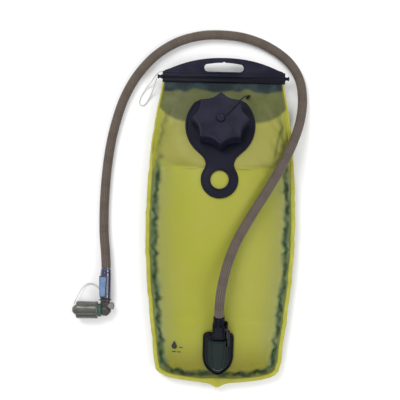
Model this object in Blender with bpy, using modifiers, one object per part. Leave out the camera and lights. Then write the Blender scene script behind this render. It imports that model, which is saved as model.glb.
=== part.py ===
"""Hydration bladder: a soft reservoir with a slide closure, a screw-cap filler and a drinking hose.

Metres. The bladder lies on its back: +Z up out of its front film, +Y towards the handle.
"""

import math

import bmesh
import bpy
from mathutils import Matrix, Vector

# Reservoir film
FILM_THICK = 0.0008
FILM_GAP = 0.0003
FLANGE = 0.005
LIP_Y = 0.1835
BELLY_POWER = 2.3
BACK_FLAT = 0.60
SEAM_TOP_Z = 0.0175
SEAM_END_Z = 0.013
BOTTOM_WELD_Y = -0.2005
BOTTOM_Y = -0.2121

# Half-widths of the film's outline down its length: (y, half width)
OUTLINE = [
    (0.1840, 0.0775), (0.1690, 0.0797), (0.1480, 0.0838), (0.1170, 0.0888), (0.0860, 0.0922),
    (0.0350, 0.0954), (-0.0070, 0.0962), (-0.0280, 0.0960), (-0.0790, 0.0929), (-0.1200, 0.0884),
    (-0.1610, 0.0836), (-0.1820, 0.0812), (-0.1900, 0.0790), (-0.1950, 0.0740), (-0.1985, 0.0670),
    (-0.2010, 0.0580), (-0.2035, 0.0420), (-0.2062, 0.0150), (-0.2078, 0.0095), (-0.2121, 0.0008),
]

# Height of the front film along its middle: (y, z, slope)
PORT_SLOPE = 0.364
OUTLET_SLOPE = 0.44
CROWN = [
    (-0.2005, 0.0135, 1.40), (-0.1930, 0.0237, OUTLET_SLOPE), (-0.1640, 0.0365, OUTLET_SLOPE),
    (-0.1340, 0.0497, OUTLET_SLOPE), (-0.1100, 0.0562, 0.14), (-0.0700, 0.0600, 0.07),
    (-0.0200, 0.0618, 0.01), (0.0200, 0.0614, -0.03), (0.0550, 0.0578, -0.18),
    (0.0810, 0.0503, -PORT_SLOPE), (0.1230, 0.0350, -PORT_SLOPE), (0.1640, 0.0201, -PORT_SLOPE),
    (0.1705, 0.0179, -0.10), (0.1840, 0.0179, 0.0),
]

# Slide closure and its rod
ROD_Y = 0.1868
ROD_RADIUS = 0.00275
ROD_HALF = 0.0848
SLIDER_HALF = 0.0787
SLIDER_DEPTH = 0.0140
SLIDER_TALL = 0.0092
HANDLE_TOP_Y = 0.2121
HANDLE_THICK = 0.0042

# Filler, square to a plane tilted with the film
PORT_X = -0.0030
PORT_Y = 0.1241
NECK_OUTER = 0.0256
NECK_INNER = 0.0226
NECK_TOP = 0.0203
THREAD_PITCH = 0.006
THREAD_RADIUS = 0.0009
PLATE_RADIUS = 0.0445
PLATE_THICK = 0.0020
PLATE_CHORD = 0.0335
RING_Y = 0.0550
RING_RADIUS = 0.0236
RING_HOLE = 0.0115
CAP_BOTTOM = 0.0050
CAP_TOP = 0.0250
CAP_TIP_RADIUS = 0.0365
CAP_VALLEY_RADIUS = 0.0302
CAP_POINTS = 8
LEASH_RADIUS = 0.0009

# Outlet, on its own tilted plane
OUTLET_Y = -0.1640
OUTLET_LENGTH = 0.0610
OUTLET_HALF = 0.0195
PLUG_AXIS = 0.0122
PLUG_TOP = 0.0580
PLUG_FOOT = 0.0262
PLUG_RADIUS = 0.0080
NOZZLE_RADIUS = 0.0042
BORE_RADIUS = 0.0050

# Hose and the valve on its end
HOSE_RADIUS = 0.0060
VALVE_X = -0.1462
VALVE_Z = 0.0116
SOCKET_TOP_Y = -0.0620
SOCKET_END_Y = -0.1000
SOCKET_RADIUS = 0.0072
ELBOW_Y = -0.1157
COVER_RADIUS = 0.0113
COVER_END_X = -0.1834
COVER_MOUTH_X = -0.1559
BUTTON_TURN = math.radians(18)

FIT = 0.0003

HOSE_ROUTE = [
    (0.0000, -0.1144, 0.0693), (0.0000, -0.1009, 0.0751), (0.0014, -0.0845, 0.0785),
    (0.0050, -0.0650, 0.0776), (0.0108, -0.0440, 0.0735), (0.0200, -0.0210, 0.0695),
    (0.0330, 0.0030, 0.0668), (0.0467, 0.0256, 0.0625), (0.0588, 0.0450, 0.0555),
    (0.0700, 0.0640, 0.0465), (0.0803, 0.0830, 0.0366), (0.0898, 0.1030, 0.0270),
    (0.0975, 0.1240, 0.0178), (0.1020, 0.1440, 0.0100), (0.1030, 0.1640, 0.0066),
    (0.0995, 0.1850, 0.0064), (0.0900, 0.2030, 0.0064), (0.0750, 0.2180, 0.0064),
    (0.0520, 0.2315, 0.0064), (0.0240, 0.2405, 0.0064), (-0.0065, 0.2432, 0.0064),
    (-0.0340, 0.2408, 0.0064), (-0.0620, 0.2318, 0.0064), (-0.0890, 0.2140, 0.0064),
    (-0.1110, 0.1890, 0.0064), (-0.1270, 0.1600, 0.0064), (-0.1375, 0.1280, 0.0064),
    (-0.1443, 0.0960, 0.0064), (-0.1485, 0.0600, 0.0064), (-0.1505, 0.0200, 0.0064),
    (-0.1500, -0.0150, 0.0072), (-0.1476, -0.0390, 0.0102), (-0.1463, -0.0550, 0.0115),
    (VALVE_X, -0.0612, VALVE_Z),
]
TETHER_ROUTE = [
    (-0.0789, 0.1930, 0.0185), (-0.0828, 0.1922, 0.0182), (-0.0872, 0.1880, 0.0140),
    (-0.0930, 0.1808, 0.0070), (-0.0985, 0.1738, 0.0022), (-0.1030, 0.1670, 0.0012),
    (-0.1066, 0.1600, 0.0012), (-0.1080, 0.1535, 0.0012), (-0.1055, 0.1500, 0.0012),
    (-0.1010, 0.1515, 0.0012), (-0.0965, 0.1580, 0.0014), (-0.0925, 0.1660, 0.0040),
    (-0.0890, 0.1750, 0.0100), (-0.0868, 0.1815, 0.0150), (-0.0858, 0.1842, 0.0170),
]
LEASH_ROUTE = [
    (0.0062, 0.0036, 0.0275), (0.0115, 0.0098, 0.0275), (0.0180, 0.0171, 0.0273),
    (0.0244, 0.0238, 0.0270), (0.0290, 0.0285, 0.0254), (0.0326, 0.0330, 0.0195),
    (0.0345, 0.0372, 0.0110), (0.0351, 0.0396, 0.0040),
]
COVER_TETHER_ROUTE = [
    (-0.1862, -0.1086, 0.0112), (-0.1850, -0.1040, 0.0096), (-0.1826, -0.0985, 0.0070),
    (-0.1786, -0.0905, 0.0040), (-0.1735, -0.0848, 0.0022), (-0.1678, -0.0826, 0.0014),
    (-0.1622, -0.0836, 0.0012), (-0.1572, -0.0872, 0.0012), (-0.1534, -0.0918, 0.0014),
    (-0.1522, -0.0955, 0.0014), (-0.1517, -0.0988, 0.0018), (-0.1517, -0.1012, 0.0038),
    (-0.1522, -0.1028, 0.0054),
]

COLOURS = {
    "film": ((0.42, 0.42, 0.10), 0.25, 0.0),
    "navy": ((0.030, 0.030, 0.055), 0.45, 0.0),
    "plate": ((0.035, 0.040, 0.055), 0.60, 0.0),
    "rubber": ((0.02, 0.02, 0.02), 0.70, 0.0),
    "steel": ((0.60, 0.60, 0.62), 0.30, 1.0),
    "green": ((0.030, 0.060, 0.060), 0.30, 0.0),
    "hose": ((0.16, 0.13, 0.11), 0.85, 0.0),
    "gloss_navy": ((0.030, 0.035, 0.150), 0.15, 0.0),
    "blue": ((0.20, 0.30, 0.60), 0.25, 0.0),
    "grey": ((0.12, 0.12, 0.12), 0.50, 0.0),
    "teal": ((0.03, 0.15, 0.12), 0.35, 0.0),
    "olive": ((0.16, 0.16, 0.12), 0.40, 0.0),
    "silicone": ((0.35, 0.42, 0.45), 0.40, 0.0),
    "string": ((0.45, 0.45, 0.45), 0.80, 0.0),
    "cord": ((0.02, 0.02, 0.02), 0.80, 0.0),
}


def clear_scene():
    for obj in list(bpy.data.objects):
        bpy.data.objects.remove(obj, do_unlink=True)


def new_collection(name):
    found = bpy.data.collections.new(name)
    bpy.context.scene.collection.children.link(found)
    return found


def finish_of(name):
    colour, roughness, metallic = COLOURS[name]
    material = bpy.data.materials.new(name)
    material.use_nodes = True
    shader = material.node_tree.nodes["Principled BSDF"]
    shader.inputs["Base Color"].default_value = (*colour, 1.0)
    shader.inputs["Roughness"].default_value = roughness
    shader.inputs["Metallic"].default_value = metallic
    return material


def place(name, mesh, finish, frame=None, home=None):
    """An object of this mesh in the parts' collection, placed by the frame's matrix."""
    obj = bpy.data.objects.new(name, mesh)
    (home or PARTS).objects.link(obj)
    if frame is not None:
        obj.matrix_world = frame
    if finish:
        mesh.materials.append(finish_of(finish))
        mesh.shade_smooth()
        mesh.set_sharp_from_angle(angle=math.radians(35))
    return obj


def cutter(name, mesh, frame=None):
    obj = place(name, mesh, None, frame, CUTTERS)
    obj.hide_render = True
    obj.display_type = "WIRE"
    return obj


def combine(obj, other, operation):
    step = obj.modifiers.new(other.name, "BOOLEAN")
    step.operation = operation
    step.object = other
    step.solver = "EXACT"


def cut(obj, other):
    combine(obj, other, "DIFFERENCE")


def join(obj, other):
    combine(obj, other, "UNION")


def round_edges(obj, width, segments=2, angle=40):
    step = obj.modifiers.new("Bevel", "BEVEL")
    step.width = width
    step.segments = segments
    step.limit_method = "ANGLE"
    step.angle_limit = math.radians(angle)
    step.harden_normals = False


def mesh_from(bm, name):
    mesh = bpy.data.meshes.new(name)
    bm.to_mesh(mesh)
    bm.free()
    return mesh


def box_mesh(name, low, high):
    bm = bmesh.new()
    bmesh.ops.create_cube(bm, size=1.0)
    low, high = Vector(low), Vector(high)
    bmesh.ops.scale(bm, vec=high - low, verts=bm.verts)
    bmesh.ops.translate(bm, vec=(low + high) / 2, verts=bm.verts)
    return mesh_from(bm, name)


def rod_mesh(name, radius, start, end, sides=16, end_radius=None):
    """A cylinder, or a cone with another end radius, from start to end."""
    start, end = Vector(start), Vector(end)
    bm = bmesh.new()
    bmesh.ops.create_cone(
        bm, cap_ends=True, segments=sides, depth=(end - start).length,
        radius1=radius, radius2=radius if end_radius is None else end_radius,
    )
    turn = Vector((0, 0, 1)).rotation_difference(end - start).to_matrix().to_4x4()
    bmesh.ops.transform(bm, matrix=Matrix.Translation((start + end) / 2) @ turn, verts=bm.verts)
    return mesh_from(bm, name)


def turned_mesh(name, profile, steps):
    """A turned solid round +Z: the profile's (radius, height) points run down its outer side."""
    guide_mesh = bpy.data.meshes.new(name + "_profile")
    points = [(radius, 0, height) for radius, height in profile]
    edges = [(i, i + 1) for i in range(len(points) - 1)]
    if profile[0][0] > 0 and profile[-1][0] > 0:
        edges.append((len(points) - 1, 0))
    guide_mesh.from_pydata(points, edges, [])
    guide = bpy.data.objects.new(name + "_profile", guide_mesh)
    CUTTERS.objects.link(guide)
    screw = guide.modifiers.new("Screw", "SCREW")
    screw.steps = steps
    screw.render_steps = steps
    screw.use_merge_vertices = True
    screw.merge_threshold = 0.00001
    bpy.context.view_layer.update()
    mesh = bpy.data.meshes.new_from_object(guide.evaluated_get(bpy.context.evaluated_depsgraph_get()))
    bpy.data.objects.remove(guide)
    return mesh


def smooth_route(route, count, closed=False):
    """Evenly spaced points on a smooth curve through the route's own points."""
    points = [Vector(point) for point in route]
    fine = []
    last = len(points) - 1
    for i in range(last):
        before = points[i - 1] if i else points[0] * 2 - points[1]
        after = points[i + 2] if i + 2 <= last else points[last] * 2 - points[last - 1]
        for k in range(12):
            fine.append(catmull(before, points[i], points[i + 1], after, k / 12))
    fine.append(points[-1])
    lengths = [0.0]
    for a, b in zip(fine, fine[1:]):
        lengths.append(lengths[-1] + (b - a).length)
    spaced = []
    j = 0
    for k in range(count):
        goal = lengths[-1] * k / (count - 1)
        while j < len(lengths) - 2 and lengths[j + 1] < goal:
            j += 1
        share = (goal - lengths[j]) / max(lengths[j + 1] - lengths[j], 1e-9)
        spaced.append(fine[j].lerp(fine[j + 1], min(share, 1.0)))
    return spaced


def catmull(a, b, c, d, t):
    """A centripetal-like Catmull-Rom point between b and c."""
    return 0.5 * (2 * b + (c - a) * t + (2 * a - 5 * b + 4 * c - d) * t * t + (3 * b - a - 3 * c + d) * t ** 3)


def tube_curve(name, points, radius, resolution=2):
    curve = bpy.data.curves.new(name, "CURVE")
    curve.dimensions = "3D"
    curve.bevel_depth = radius
    curve.bevel_resolution = resolution
    curve.use_fill_caps = True
    spline = curve.splines.new("POLY")
    spline.points.add(len(points) - 1)
    for spot, point in zip(spline.points, points):
        spot.co = (*point, 1.0)
    return curve


def place_tube(name, points, radius, finish, resolution=2, frame=None):
    curve = tube_curve(name, points, radius, resolution)
    obj = bpy.data.objects.new(name, curve)
    PARTS.objects.link(obj)
    if frame is not None:
        obj.matrix_world = frame
    curve.materials.append(finish_of(finish))
    return obj


def mesh_of_curve(curve):
    """A curve's own mesh, with its caps welded."""
    guide = bpy.data.objects.new(curve.name + "_guide", curve)
    CUTTERS.objects.link(guide)
    bpy.context.view_layer.update()
    mesh = bpy.data.meshes.new_from_object(guide.evaluated_get(bpy.context.evaluated_depsgraph_get()))
    bpy.data.objects.remove(guide)
    bm = bmesh.new()
    bm.from_mesh(mesh)
    bmesh.ops.remove_doubles(bm, verts=bm.verts, dist=0.000005)
    bmesh.ops.recalc_face_normals(bm, faces=bm.faces)
    bm.to_mesh(mesh)
    bm.free()
    return mesh


def outline_mesh(name, outlines, low, high):
    """A flat outline, with any holes, extruded from low to high along +Z."""
    curve = bpy.data.curves.new(name, "CURVE")
    curve.dimensions = "2D"
    curve.fill_mode = "BOTH"
    curve.extrude = (high - low) / 2
    for outline in outlines:
        spline = curve.splines.new("POLY")
        spline.points.add(len(outline) - 1)
        spline.use_cyclic_u = True
        for spot, (x, y) in zip(spline.points, outline):
            spot.co = (x, y, 0, 1)
    mesh = mesh_of_curve(curve)
    mesh.transform(Matrix.Translation((0, 0, (low + high) / 2)))
    return mesh


def arc(centre, radius, start, end, count):
    """Points on an arc, from one angle in degrees to another."""
    found = []
    for k in range(count + 1):
        angle = math.radians(start + (end - start) * k / count)
        found.append((centre[0] + radius * math.cos(angle), centre[1] + radius * math.sin(angle)))
    return found


def helix(radius, pitch, turns, start_height, start_angle=0.0, per_turn=18):
    """Points of a screw thread's crest line round +Z."""
    found = []
    count = round(turns * per_turn)
    for k in range(count + 1):
        turn = k / per_turn
        angle = start_angle + turn * math.tau
        height = start_height + pitch * turn
        found.append((radius * math.cos(angle), radius * math.sin(angle), height))
    return found


def interpolate(table, value):
    """Straight-line interpolation in a table whose first column falls."""
    for (a, x), (b, y) in zip(table, table[1:]):
        if b <= value <= a:
            return x + (y - x) * (a - value) / (a - b)
    return table[0][1] if value > table[0][0] else table[-1][1]


def smooth_half_width(y):
    reach = 0.004
    spots = [interpolate(OUTLINE, y + reach * k) for k in (-1, -0.5, 0, 0.5, 1)]
    return sum(spots) / len(spots) if y > -0.185 else interpolate(OUTLINE, y)


def crown_height(y):
    """Height of the front film along its middle, by cubic pieces."""
    for (a, low, rise), (b, high, end_rise) in zip(CROWN, CROWN[1:]):
        if a <= y <= b:
            step = b - a
            t = (y - a) / step
            return (
                low * (2 * t**3 - 3 * t**2 + 1) + rise * step * (t**3 - 2 * t**2 + t)
                + high * (3 * t**2 - 2 * t**3) + end_rise * step * (t**3 - t**2)
            )
    return CROWN[0][1] if y < CROWN[0][0] else CROWN[-1][1]


def seam_height(y):
    share = min(max((y + 0.200) / 0.365, 0.0), 1.0)
    return SEAM_END_Z + (SEAM_TOP_Z - SEAM_END_Z) * share


def flat_half_width(y):
    """Half the width over which the film stays flat under the filler's plate and the outlet."""
    filler = max(0.0, 1 - ((y - PORT_Y) / 0.052) ** 2)
    outlet = max(0.0, 1 - ((y - OUTLET_Y) / 0.044) ** 2)
    return 0.048 * math.sqrt(filler) + 0.023 * math.sqrt(outlet)


def front_height(x, y):
    """Outer face of the front film."""
    seam = seam_height(y) + (FILM_GAP / 2 + FILM_THICK)
    inner = max(smooth_half_width(y) - FLANGE, 0.004)
    if y < BOTTOM_WELD_Y or abs(x) >= inner:
        return seam
    flat = min(flat_half_width(y), inner * 0.7)
    across = max(0.0, abs(x) - flat) / (inner - flat)
    return seam + max(0.0, crown_height(y) - seam) * (1 - across**BELLY_POWER)


def back_height(x, y):
    """Outer face of the back film: flat on the ground, rising to the seam."""
    seam = seam_height(y) - (FILM_GAP / 2 + FILM_THICK)
    inner = max(smooth_half_width(y) - FLANGE, 0.004)
    top = LIP_Y - 0.016
    middle = (top + BOTTOM_WELD_Y) / 2
    along = abs(y - middle) / (top - middle)
    across = abs(x) / inner
    away = (across**4 + along**9) ** 0.25
    rise = min(max((away - BACK_FLAT) / (1 - BACK_FLAT), 0.0), 1.0)
    return seam * rise**1.5


ROWS = [
    0.1835, 0.1770, 0.1705, 0.1645, 0.1550, 0.1420, 0.1240, 0.1060, 0.0930, 0.0830,
    0.0720, 0.0600, 0.0480, 0.0360, 0.0200, 0.0, -0.0250, -0.0500, -0.0750, -0.0980, -0.1160,
    -0.1330, -0.1480, -0.1640, -0.1800, -0.1920, -0.1970, BOTTOM_WELD_Y, -0.2032, -0.2062, -0.2078, BOTTOM_Y,
]
FRONT_COLUMNS = [0.0, 0.15, 0.30, 0.45, 0.60, 0.74, 0.86, 0.95, 1.0]
BACK_COLUMNS = [0.0, 0.35, 0.58, 0.74, 0.88, 1.0]


def film_surface(name, rows, columns, height, lift=0.0):
    """An open sheet over the reservoir's outline, with its weld strip as the outer column."""
    shares = [-share for share in reversed(columns[1:])] + columns
    bm = bmesh.new()
    grid = []
    for y in rows:
        half = smooth_half_width(y)
        inner = max(half - FLANGE, half * 0.7)
        xs = [-half] + [share * inner for share in shares] + [half]
        grid.append([bm.verts.new((x, y, height(x, y) + lift)) for x in xs])
    for upper, lower in zip(grid, grid[1:]):
        for k in range(len(upper) - 1):
            bm.faces.new((upper[k], lower[k], lower[k + 1], upper[k + 1]))
    bmesh.ops.triangulate(bm, faces=bm.faces, quad_method="FIXED")
    return mesh_from(bm, name)


def thicken(obj, thickness, offset):
    step = obj.modifiers.new("Solidify", "SOLIDIFY")
    step.thickness = thickness
    step.offset = offset
    step.use_even_offset = False


def port_frame():
    """The filler's axes: origin on the film's outer face, +Z square to it."""
    tilt = math.atan(PORT_SLOPE)
    origin = (PORT_X, PORT_Y, front_height(0, PORT_Y))
    return Matrix.Translation(origin) @ Matrix.Rotation(-tilt, 4, "X")


def outlet_frame():
    tilt = math.atan(OUTLET_SLOPE)
    origin = (0, OUTLET_Y, front_height(0, OUTLET_Y))
    return Matrix.Translation(origin) @ Matrix.Rotation(tilt, 4, "X")


def make_films():
    front = place("film_front", film_surface("film_front", ROWS, FRONT_COLUMNS, front_height), "film")
    thicken(front, FILM_THICK, -1)
    hole = cutter("filler_hole", rod_mesh("filler_hole", 0.0266, (0, 0, -0.01), (0, 0, 0.01), 32), port_frame())
    drain = cutter("outlet_hole", rod_mesh("outlet_hole", 0.0060, (0, 0, -0.01), (0, 0, 0.01), 16), outlet_frame())
    cut(front, hole)
    cut(front, drain)
    back = place("film_back", film_surface("film_back", ROWS, BACK_COLUMNS, back_height), "film")
    thicken(back, FILM_THICK, 1)


def make_rod():
    neck = 0.0016
    profile = [(0, ROD_HALF)]
    profile += [(ROD_RADIUS * 0.75, ROD_HALF), (ROD_RADIUS, ROD_HALF - 0.0007), (ROD_RADIUS, 0.0830)]
    profile += [(neck, 0.0825), (neck, 0.0805), (ROD_RADIUS, 0.0800)]
    profile += [(radius, -height) for radius, height in reversed(profile)]
    turn = Matrix.Rotation(math.pi / 2, 4, "Y")
    frame = Matrix.Translation((0, ROD_Y, SEAM_TOP_Z)) @ turn
    place("closure_rod", turned_mesh("closure_rod", profile, 16), "navy", frame)


def handle_outline():
    """The arched handle: straight along the bar, low ends, high in the middle."""
    base = -SLIDER_DEPTH / 2 + 0.002
    end_y = 0.0090
    top = HANDLE_TOP_Y - ROD_Y
    points = [(SLIDER_HALF - 0.0015, base)]
    points += arc((SLIDER_HALF - 0.005, end_y - 0.0035), 0.0035, 0, 80, 4)
    for k in range(1, 12):
        share = k / 12
        x = (SLIDER_HALF - 0.006) * (1 - 2 * share)
        rise = 1 - abs(2 * share - 1) ** 2.2
        points.append((x, end_y + (top - end_y) * rise))
    points += arc((-SLIDER_HALF + 0.005, end_y - 0.0035), 0.0035, 100, 180, 4)
    points.append((-SLIDER_HALF + 0.0015, base))
    return points


def hand_hole_outline():
    low, high, half = 0.0073, 0.0172, 0.0253
    points = arc((half - 0.0052, 0.0124), 0.0052, -90, 60, 5)
    points += [(0.012, high + 0.0014), (0.0018, high + 0.0020), (0.0, high + 0.0034)]
    points += [(-0.0018, high + 0.0020), (-0.012, high + 0.0014)]
    points += arc((-half + 0.0052, 0.0124), 0.0052, 120, 270, 5)
    return [(x, max(y, low)) for x, y in points]


def make_slider():
    frame = Matrix.Translation((0.0005, ROD_Y, SEAM_TOP_Z))
    half_depth, half_tall = SLIDER_DEPTH / 2, SLIDER_TALL / 2
    bar = box_mesh("bar", (-SLIDER_HALF, -half_depth, -half_tall), (SLIDER_HALF, half_depth, half_tall))
    handle = cutter("handle", outline_mesh("handle", [handle_outline()], -HANDLE_THICK / 2, HANDLE_THICK / 2))
    handle.matrix_world = frame
    hand = cutter("hand_hole", outline_mesh("hand_hole", [hand_hole_outline()], -0.01, 0.01), frame)
    reach = SLIDER_HALF + 0.005
    bore = cutter("rod_bore", rod_mesh("rod_bore", ROD_RADIUS + 0.0004, (-reach, 0, 0), (reach, 0, 0), 16), frame)
    slot = cutter("film_slot", box_mesh("film_slot", (-reach, -0.02, -0.0013), (reach, 0, 0.0013)), frame)
    slider = place("slide_closure", bar, "navy", frame)
    round_edges(slider, 0.0012, 2)
    join(slider, handle)
    cut(slider, hand)
    cut(slider, bore)
    cut(slider, slot)


def make_slider_tether():
    place_tube("slider_tether", smooth_route(TETHER_ROUTE, 28), 0.0007, "string")


def make_filler():
    frame = port_frame()
    low = -FILM_THICK - FIT
    profile = [
        (NECK_INNER, NECK_TOP), (NECK_OUTER - 0.0006, NECK_TOP), (NECK_OUTER, NECK_TOP - 0.0006),
        (NECK_OUTER, low), (0.0400, low), (0.0400, low - 0.0014), (NECK_INNER, low - 0.0014),
    ]
    port = place("filler_neck", turned_mesh("filler_neck", profile, 36), "plate", frame)
    crest = helix(NECK_OUTER + 0.0002, THREAD_PITCH, 1.5, 0.0078)
    thread = mesh_of_curve(tube_curve("neck_thread", crest, THREAD_RADIUS, 1))
    join(port, cutter("neck_thread", thread, frame))


def keyhole_outline():
    """Disc, cut straight behind the cap, and finger ring joined by a waisted neck."""
    gap = (PORT_Y - RING_Y)
    side = math.degrees(math.asin(PLATE_CHORD / PLATE_RADIUS))
    points = arc((0, 0), PLATE_RADIUS, -50, side, 14)
    points += arc((0, 0), PLATE_RADIUS, 180 - side, 230, 14)
    left = [(-0.0205, -0.0415), (-0.0182, -0.0475), (-0.0190, -0.0530)]
    points += left
    points += arc((0, -gap), RING_RADIUS, 145, 395, 22)
    points += [(-x, y) for x, y in reversed(left)]
    return points


def make_plate():
    columns = FRONT_COLUMNS[:7]
    rows = [y for y in ROWS if -0.01 < y < 0.175]
    slab = place("grip_plate", film_surface("grip_plate", rows, columns, front_height, 0.00038), "plate")
    bm = bmesh.new()
    bm.from_mesh(slab.data)
    wide = [face for face in bm.faces if max(abs(vert.co.x) for vert in face.verts) > 0.0765]
    bmesh.ops.delete(bm, geom=wide, context="FACES")
    bm.to_mesh(slab.data)
    bm.free()
    thicken(slab, PLATE_THICK, 1)
    outline = outline_mesh("keyhole", [keyhole_outline()], -0.08, 0.08)
    place_flat = Matrix.Translation((PORT_X, PORT_Y, 0.04))
    combine(slab, cutter("keyhole", outline, place_flat), "INTERSECT")
    ring = rod_mesh("ring_hole", RING_HOLE, (0, RING_Y - PORT_Y, -0.08), (0, RING_Y - PORT_Y, 0.08), 24)
    cut(slab, cutter("ring_hole", ring, place_flat))
    neck = rod_mesh("neck_hole", NECK_OUTER + 0.0005, (0, 0, -0.01), (0, 0, 0.01), 36)
    cut(slab, cutter("neck_hole", neck, port_frame()))


def cap_outline(tip, valley, per_point=6):
    """Eight points with hollow sides between them."""
    found = []
    count = CAP_POINTS * per_point
    for k in range(count):
        angle = math.tau * k / count + math.radians(90)
        wave = abs(math.sin(CAP_POINTS * (angle - math.radians(90)) / 2))
        radius = tip - (tip - valley) * wave**0.8
        found.append((radius * math.cos(angle), radius * math.sin(angle)))
    return found


def make_cap():
    frame = port_frame()
    body = outline_mesh("screw_cap", [cap_outline(CAP_TIP_RADIUS, CAP_VALLEY_RADIUS)], CAP_BOTTOM, CAP_TOP)
    cap = place("screw_cap", body, "navy", frame)
    inner = NECK_OUTER + 0.0018
    hollow = rod_mesh("cap_hollow", inner, (0, 0, CAP_BOTTOM - 0.01), (0, 0, CAP_TOP - 0.0025), 36)
    cut(cap, cutter("cap_hollow", hollow, frame))
    crest = helix(inner - 0.0002, THREAD_PITCH, 1.25, 0.0078 + THREAD_PITCH / 2)
    thread = mesh_of_curve(tube_curve("cap_thread", crest, THREAD_RADIUS, 1))
    join(cap, cutter("cap_thread", thread, frame))
    middle = rod_mesh("stud_hole", 0.0031, (0, 0, 0.015), (0, 0, 0.03), 16)
    cut(cap, cutter("stud_hole", middle, frame))
    seal = [
        (NECK_INNER - 0.0004, NECK_TOP + 0.0019), (NECK_OUTER - 0.0002, NECK_TOP + 0.0019),
        (NECK_OUTER - 0.0002, NECK_TOP + FIT), (NECK_INNER - 0.0004, NECK_TOP + FIT),
    ]
    place("cap_gasket", turned_mesh("cap_gasket", seal, 32), "rubber", frame)
    stud = [
        (0, 0.0285), (0.0040, 0.0283), (0.0056, 0.0270), (0.0058, CAP_TOP + FIT), (0.0028, CAP_TOP + FIT),
        (0.0028, 0.0222), (0.0046, 0.0222), (0.0046, 0.0206), (0, 0.0206),
    ]
    place("leash_stud", turned_mesh("leash_stud", stud, 16), "navy", frame)
    route = smooth_route(LEASH_ROUTE, 22)
    place_tube("cap_leash", route, LEASH_RADIUS, "cord", frame=frame)


def make_leash_tag():
    frame = port_frame()
    x, y = 0.0351, 0.0398
    tag = box_mesh("leash_tag", (x - 0.0028, y - 0.0026, 0.0008), (x + 0.0028, y + 0.0026, 0.0034))
    obj = place("leash_tag", tag, "rubber", frame)
    round_edges(obj, 0.0006, 2)


def shield_outline(half, length):
    """Straight top with round corners, tapering to a round tip."""
    top = length / 2
    corner = 0.0060
    points = arc((half - corner, top - corner), corner, 0, 90, 4)
    points += arc((-half + corner, top - corner), corner, 90, 180, 4)
    points.append((-half, -length * 0.06))
    points += [(-half * 0.94, -length * 0.19), (-half * 0.79, -length * 0.32)]
    points += arc((0, -length * 0.513 + half * 0.52), half * 0.52, 205, 335, 8)
    points += [(half * 0.79, -length * 0.32), (half * 0.94, -length * 0.19)]
    points.append((half, -length * 0.06))
    return points


def make_outlet():
    frame = outlet_frame()
    base = outline_mesh("outlet_port", [shield_outline(OUTLET_HALF, OUTLET_LENGTH)], 0.00038, 0.0040)
    port = place("outlet_port", base, "green", frame)
    panel = shield_outline(OUTLET_HALF - 0.0035, OUTLET_LENGTH - 0.0085)
    join(port, cutter("panel", outline_mesh("panel", [panel], 0.0030, 0.0088), frame))
    axis = PLUG_AXIS - 0.0032
    boss = rod_mesh("boss", 0.0088, (0, -0.0170, axis), (0, PLUG_FOOT - FIT, axis), 20)
    join(port, cutter("boss", boss, frame))
    dome = bmesh.new()
    bmesh.ops.create_uvsphere(dome, u_segments=20, v_segments=12, radius=0.0087)
    join(port, cutter("dome", mesh_from(dome, "dome"), frame @ Matrix.Translation((0, -0.0170, axis))))
    seat = box_mesh("plug_seat", (-0.0088, PLUG_FOOT - FIT, 0.0035), (0.0095, 0.040, 0.03))
    cut(port, cutter("plug_seat", seat, frame))
    bore = rod_mesh("plug_bore", BORE_RADIUS, (0, 0.0015, axis), (0, 0.030, axis), 16)
    cut(port, cutter("plug_bore", bore, frame))
    drop = rod_mesh("drop_bore", 0.0040, (0, 0.0058, -0.002), (0, 0.0058, axis), 16)
    cut(port, cutter("drop_bore", drop, frame))
    pocket = box_mesh("button_pocket", (0.0088, 0.0142, 0.0048), (0.0240, 0.0400, 0.0300))
    cut(port, cutter("button_pocket", pocket, frame))
    well = rod_mesh("spring_well", 0.0019, (0.0064, 0.0185, 0.0077), (0.0110, 0.0185, 0.0077), 12)
    cut(port, cutter("spring_well", well, frame))
    button = box_mesh("outlet_button", (0.0101, 0.0150, 0.0052), (0.0145, 0.0370, 0.0118))
    round_edges(place("outlet_button", button, "navy", frame), 0.0012, 2)
    coil = helix(0.0014, 0.0015, 2.1, 0.0, per_turn=8)
    turn = Matrix.Translation((0.0067, 0.0185, 0.0077)) @ Matrix.Rotation(math.pi / 2, 4, "Y")
    place_tube("outlet_button_spring", coil, 0.0002, "steel", 1, frame @ turn)


def make_hose_plug():
    frame = outlet_frame()
    axis = PLUG_AXIS - 0.0032
    low = axis - 0.0048
    body = box_mesh("hose_plug", (-PLUG_RADIUS, PLUG_FOOT, low), (PLUG_RADIUS, PLUG_TOP - 0.009, low + 0.0129))
    plug = place("hose_plug", body, "gloss_navy", frame)
    round_edges(plug, 0.0028, 3)
    tail = rod_mesh("plug_tail", 0.0070, (0, 0.040, axis + 0.001), (0, PLUG_TOP, axis + 0.001), 20, 0.0066)
    join(plug, cutter("plug_tail", tail, frame))
    nozzle = rod_mesh("plug_nozzle", NOZZLE_RADIUS, (0, 0.0048, axis), (0, PLUG_FOOT + 0.004, axis), 16)
    join(plug, cutter("plug_nozzle", nozzle, frame))
    waist = turned_mesh("ring_groove", [(0.006, 0.001), (0.006, -0.001), (0.0033, -0.001), (0.0033, 0.001)], 16)
    turn = Matrix.Translation((0, 0.0140, axis)) @ Matrix.Rotation(math.pi / 2, 4, "X")
    cut(plug, cutter("ring_groove", waist, frame @ turn))
    passage = rod_mesh("plug_passage", 0.0024, (0, 0.0, axis), (0, 0.07, axis), 12)
    cut(plug, cutter("plug_passage", passage, frame))
    ring = bpy.data.meshes.new("plug_o_ring")
    place_ring("plug_o_ring", ring, 0.00415, 0.00052, frame @ turn)


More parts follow.
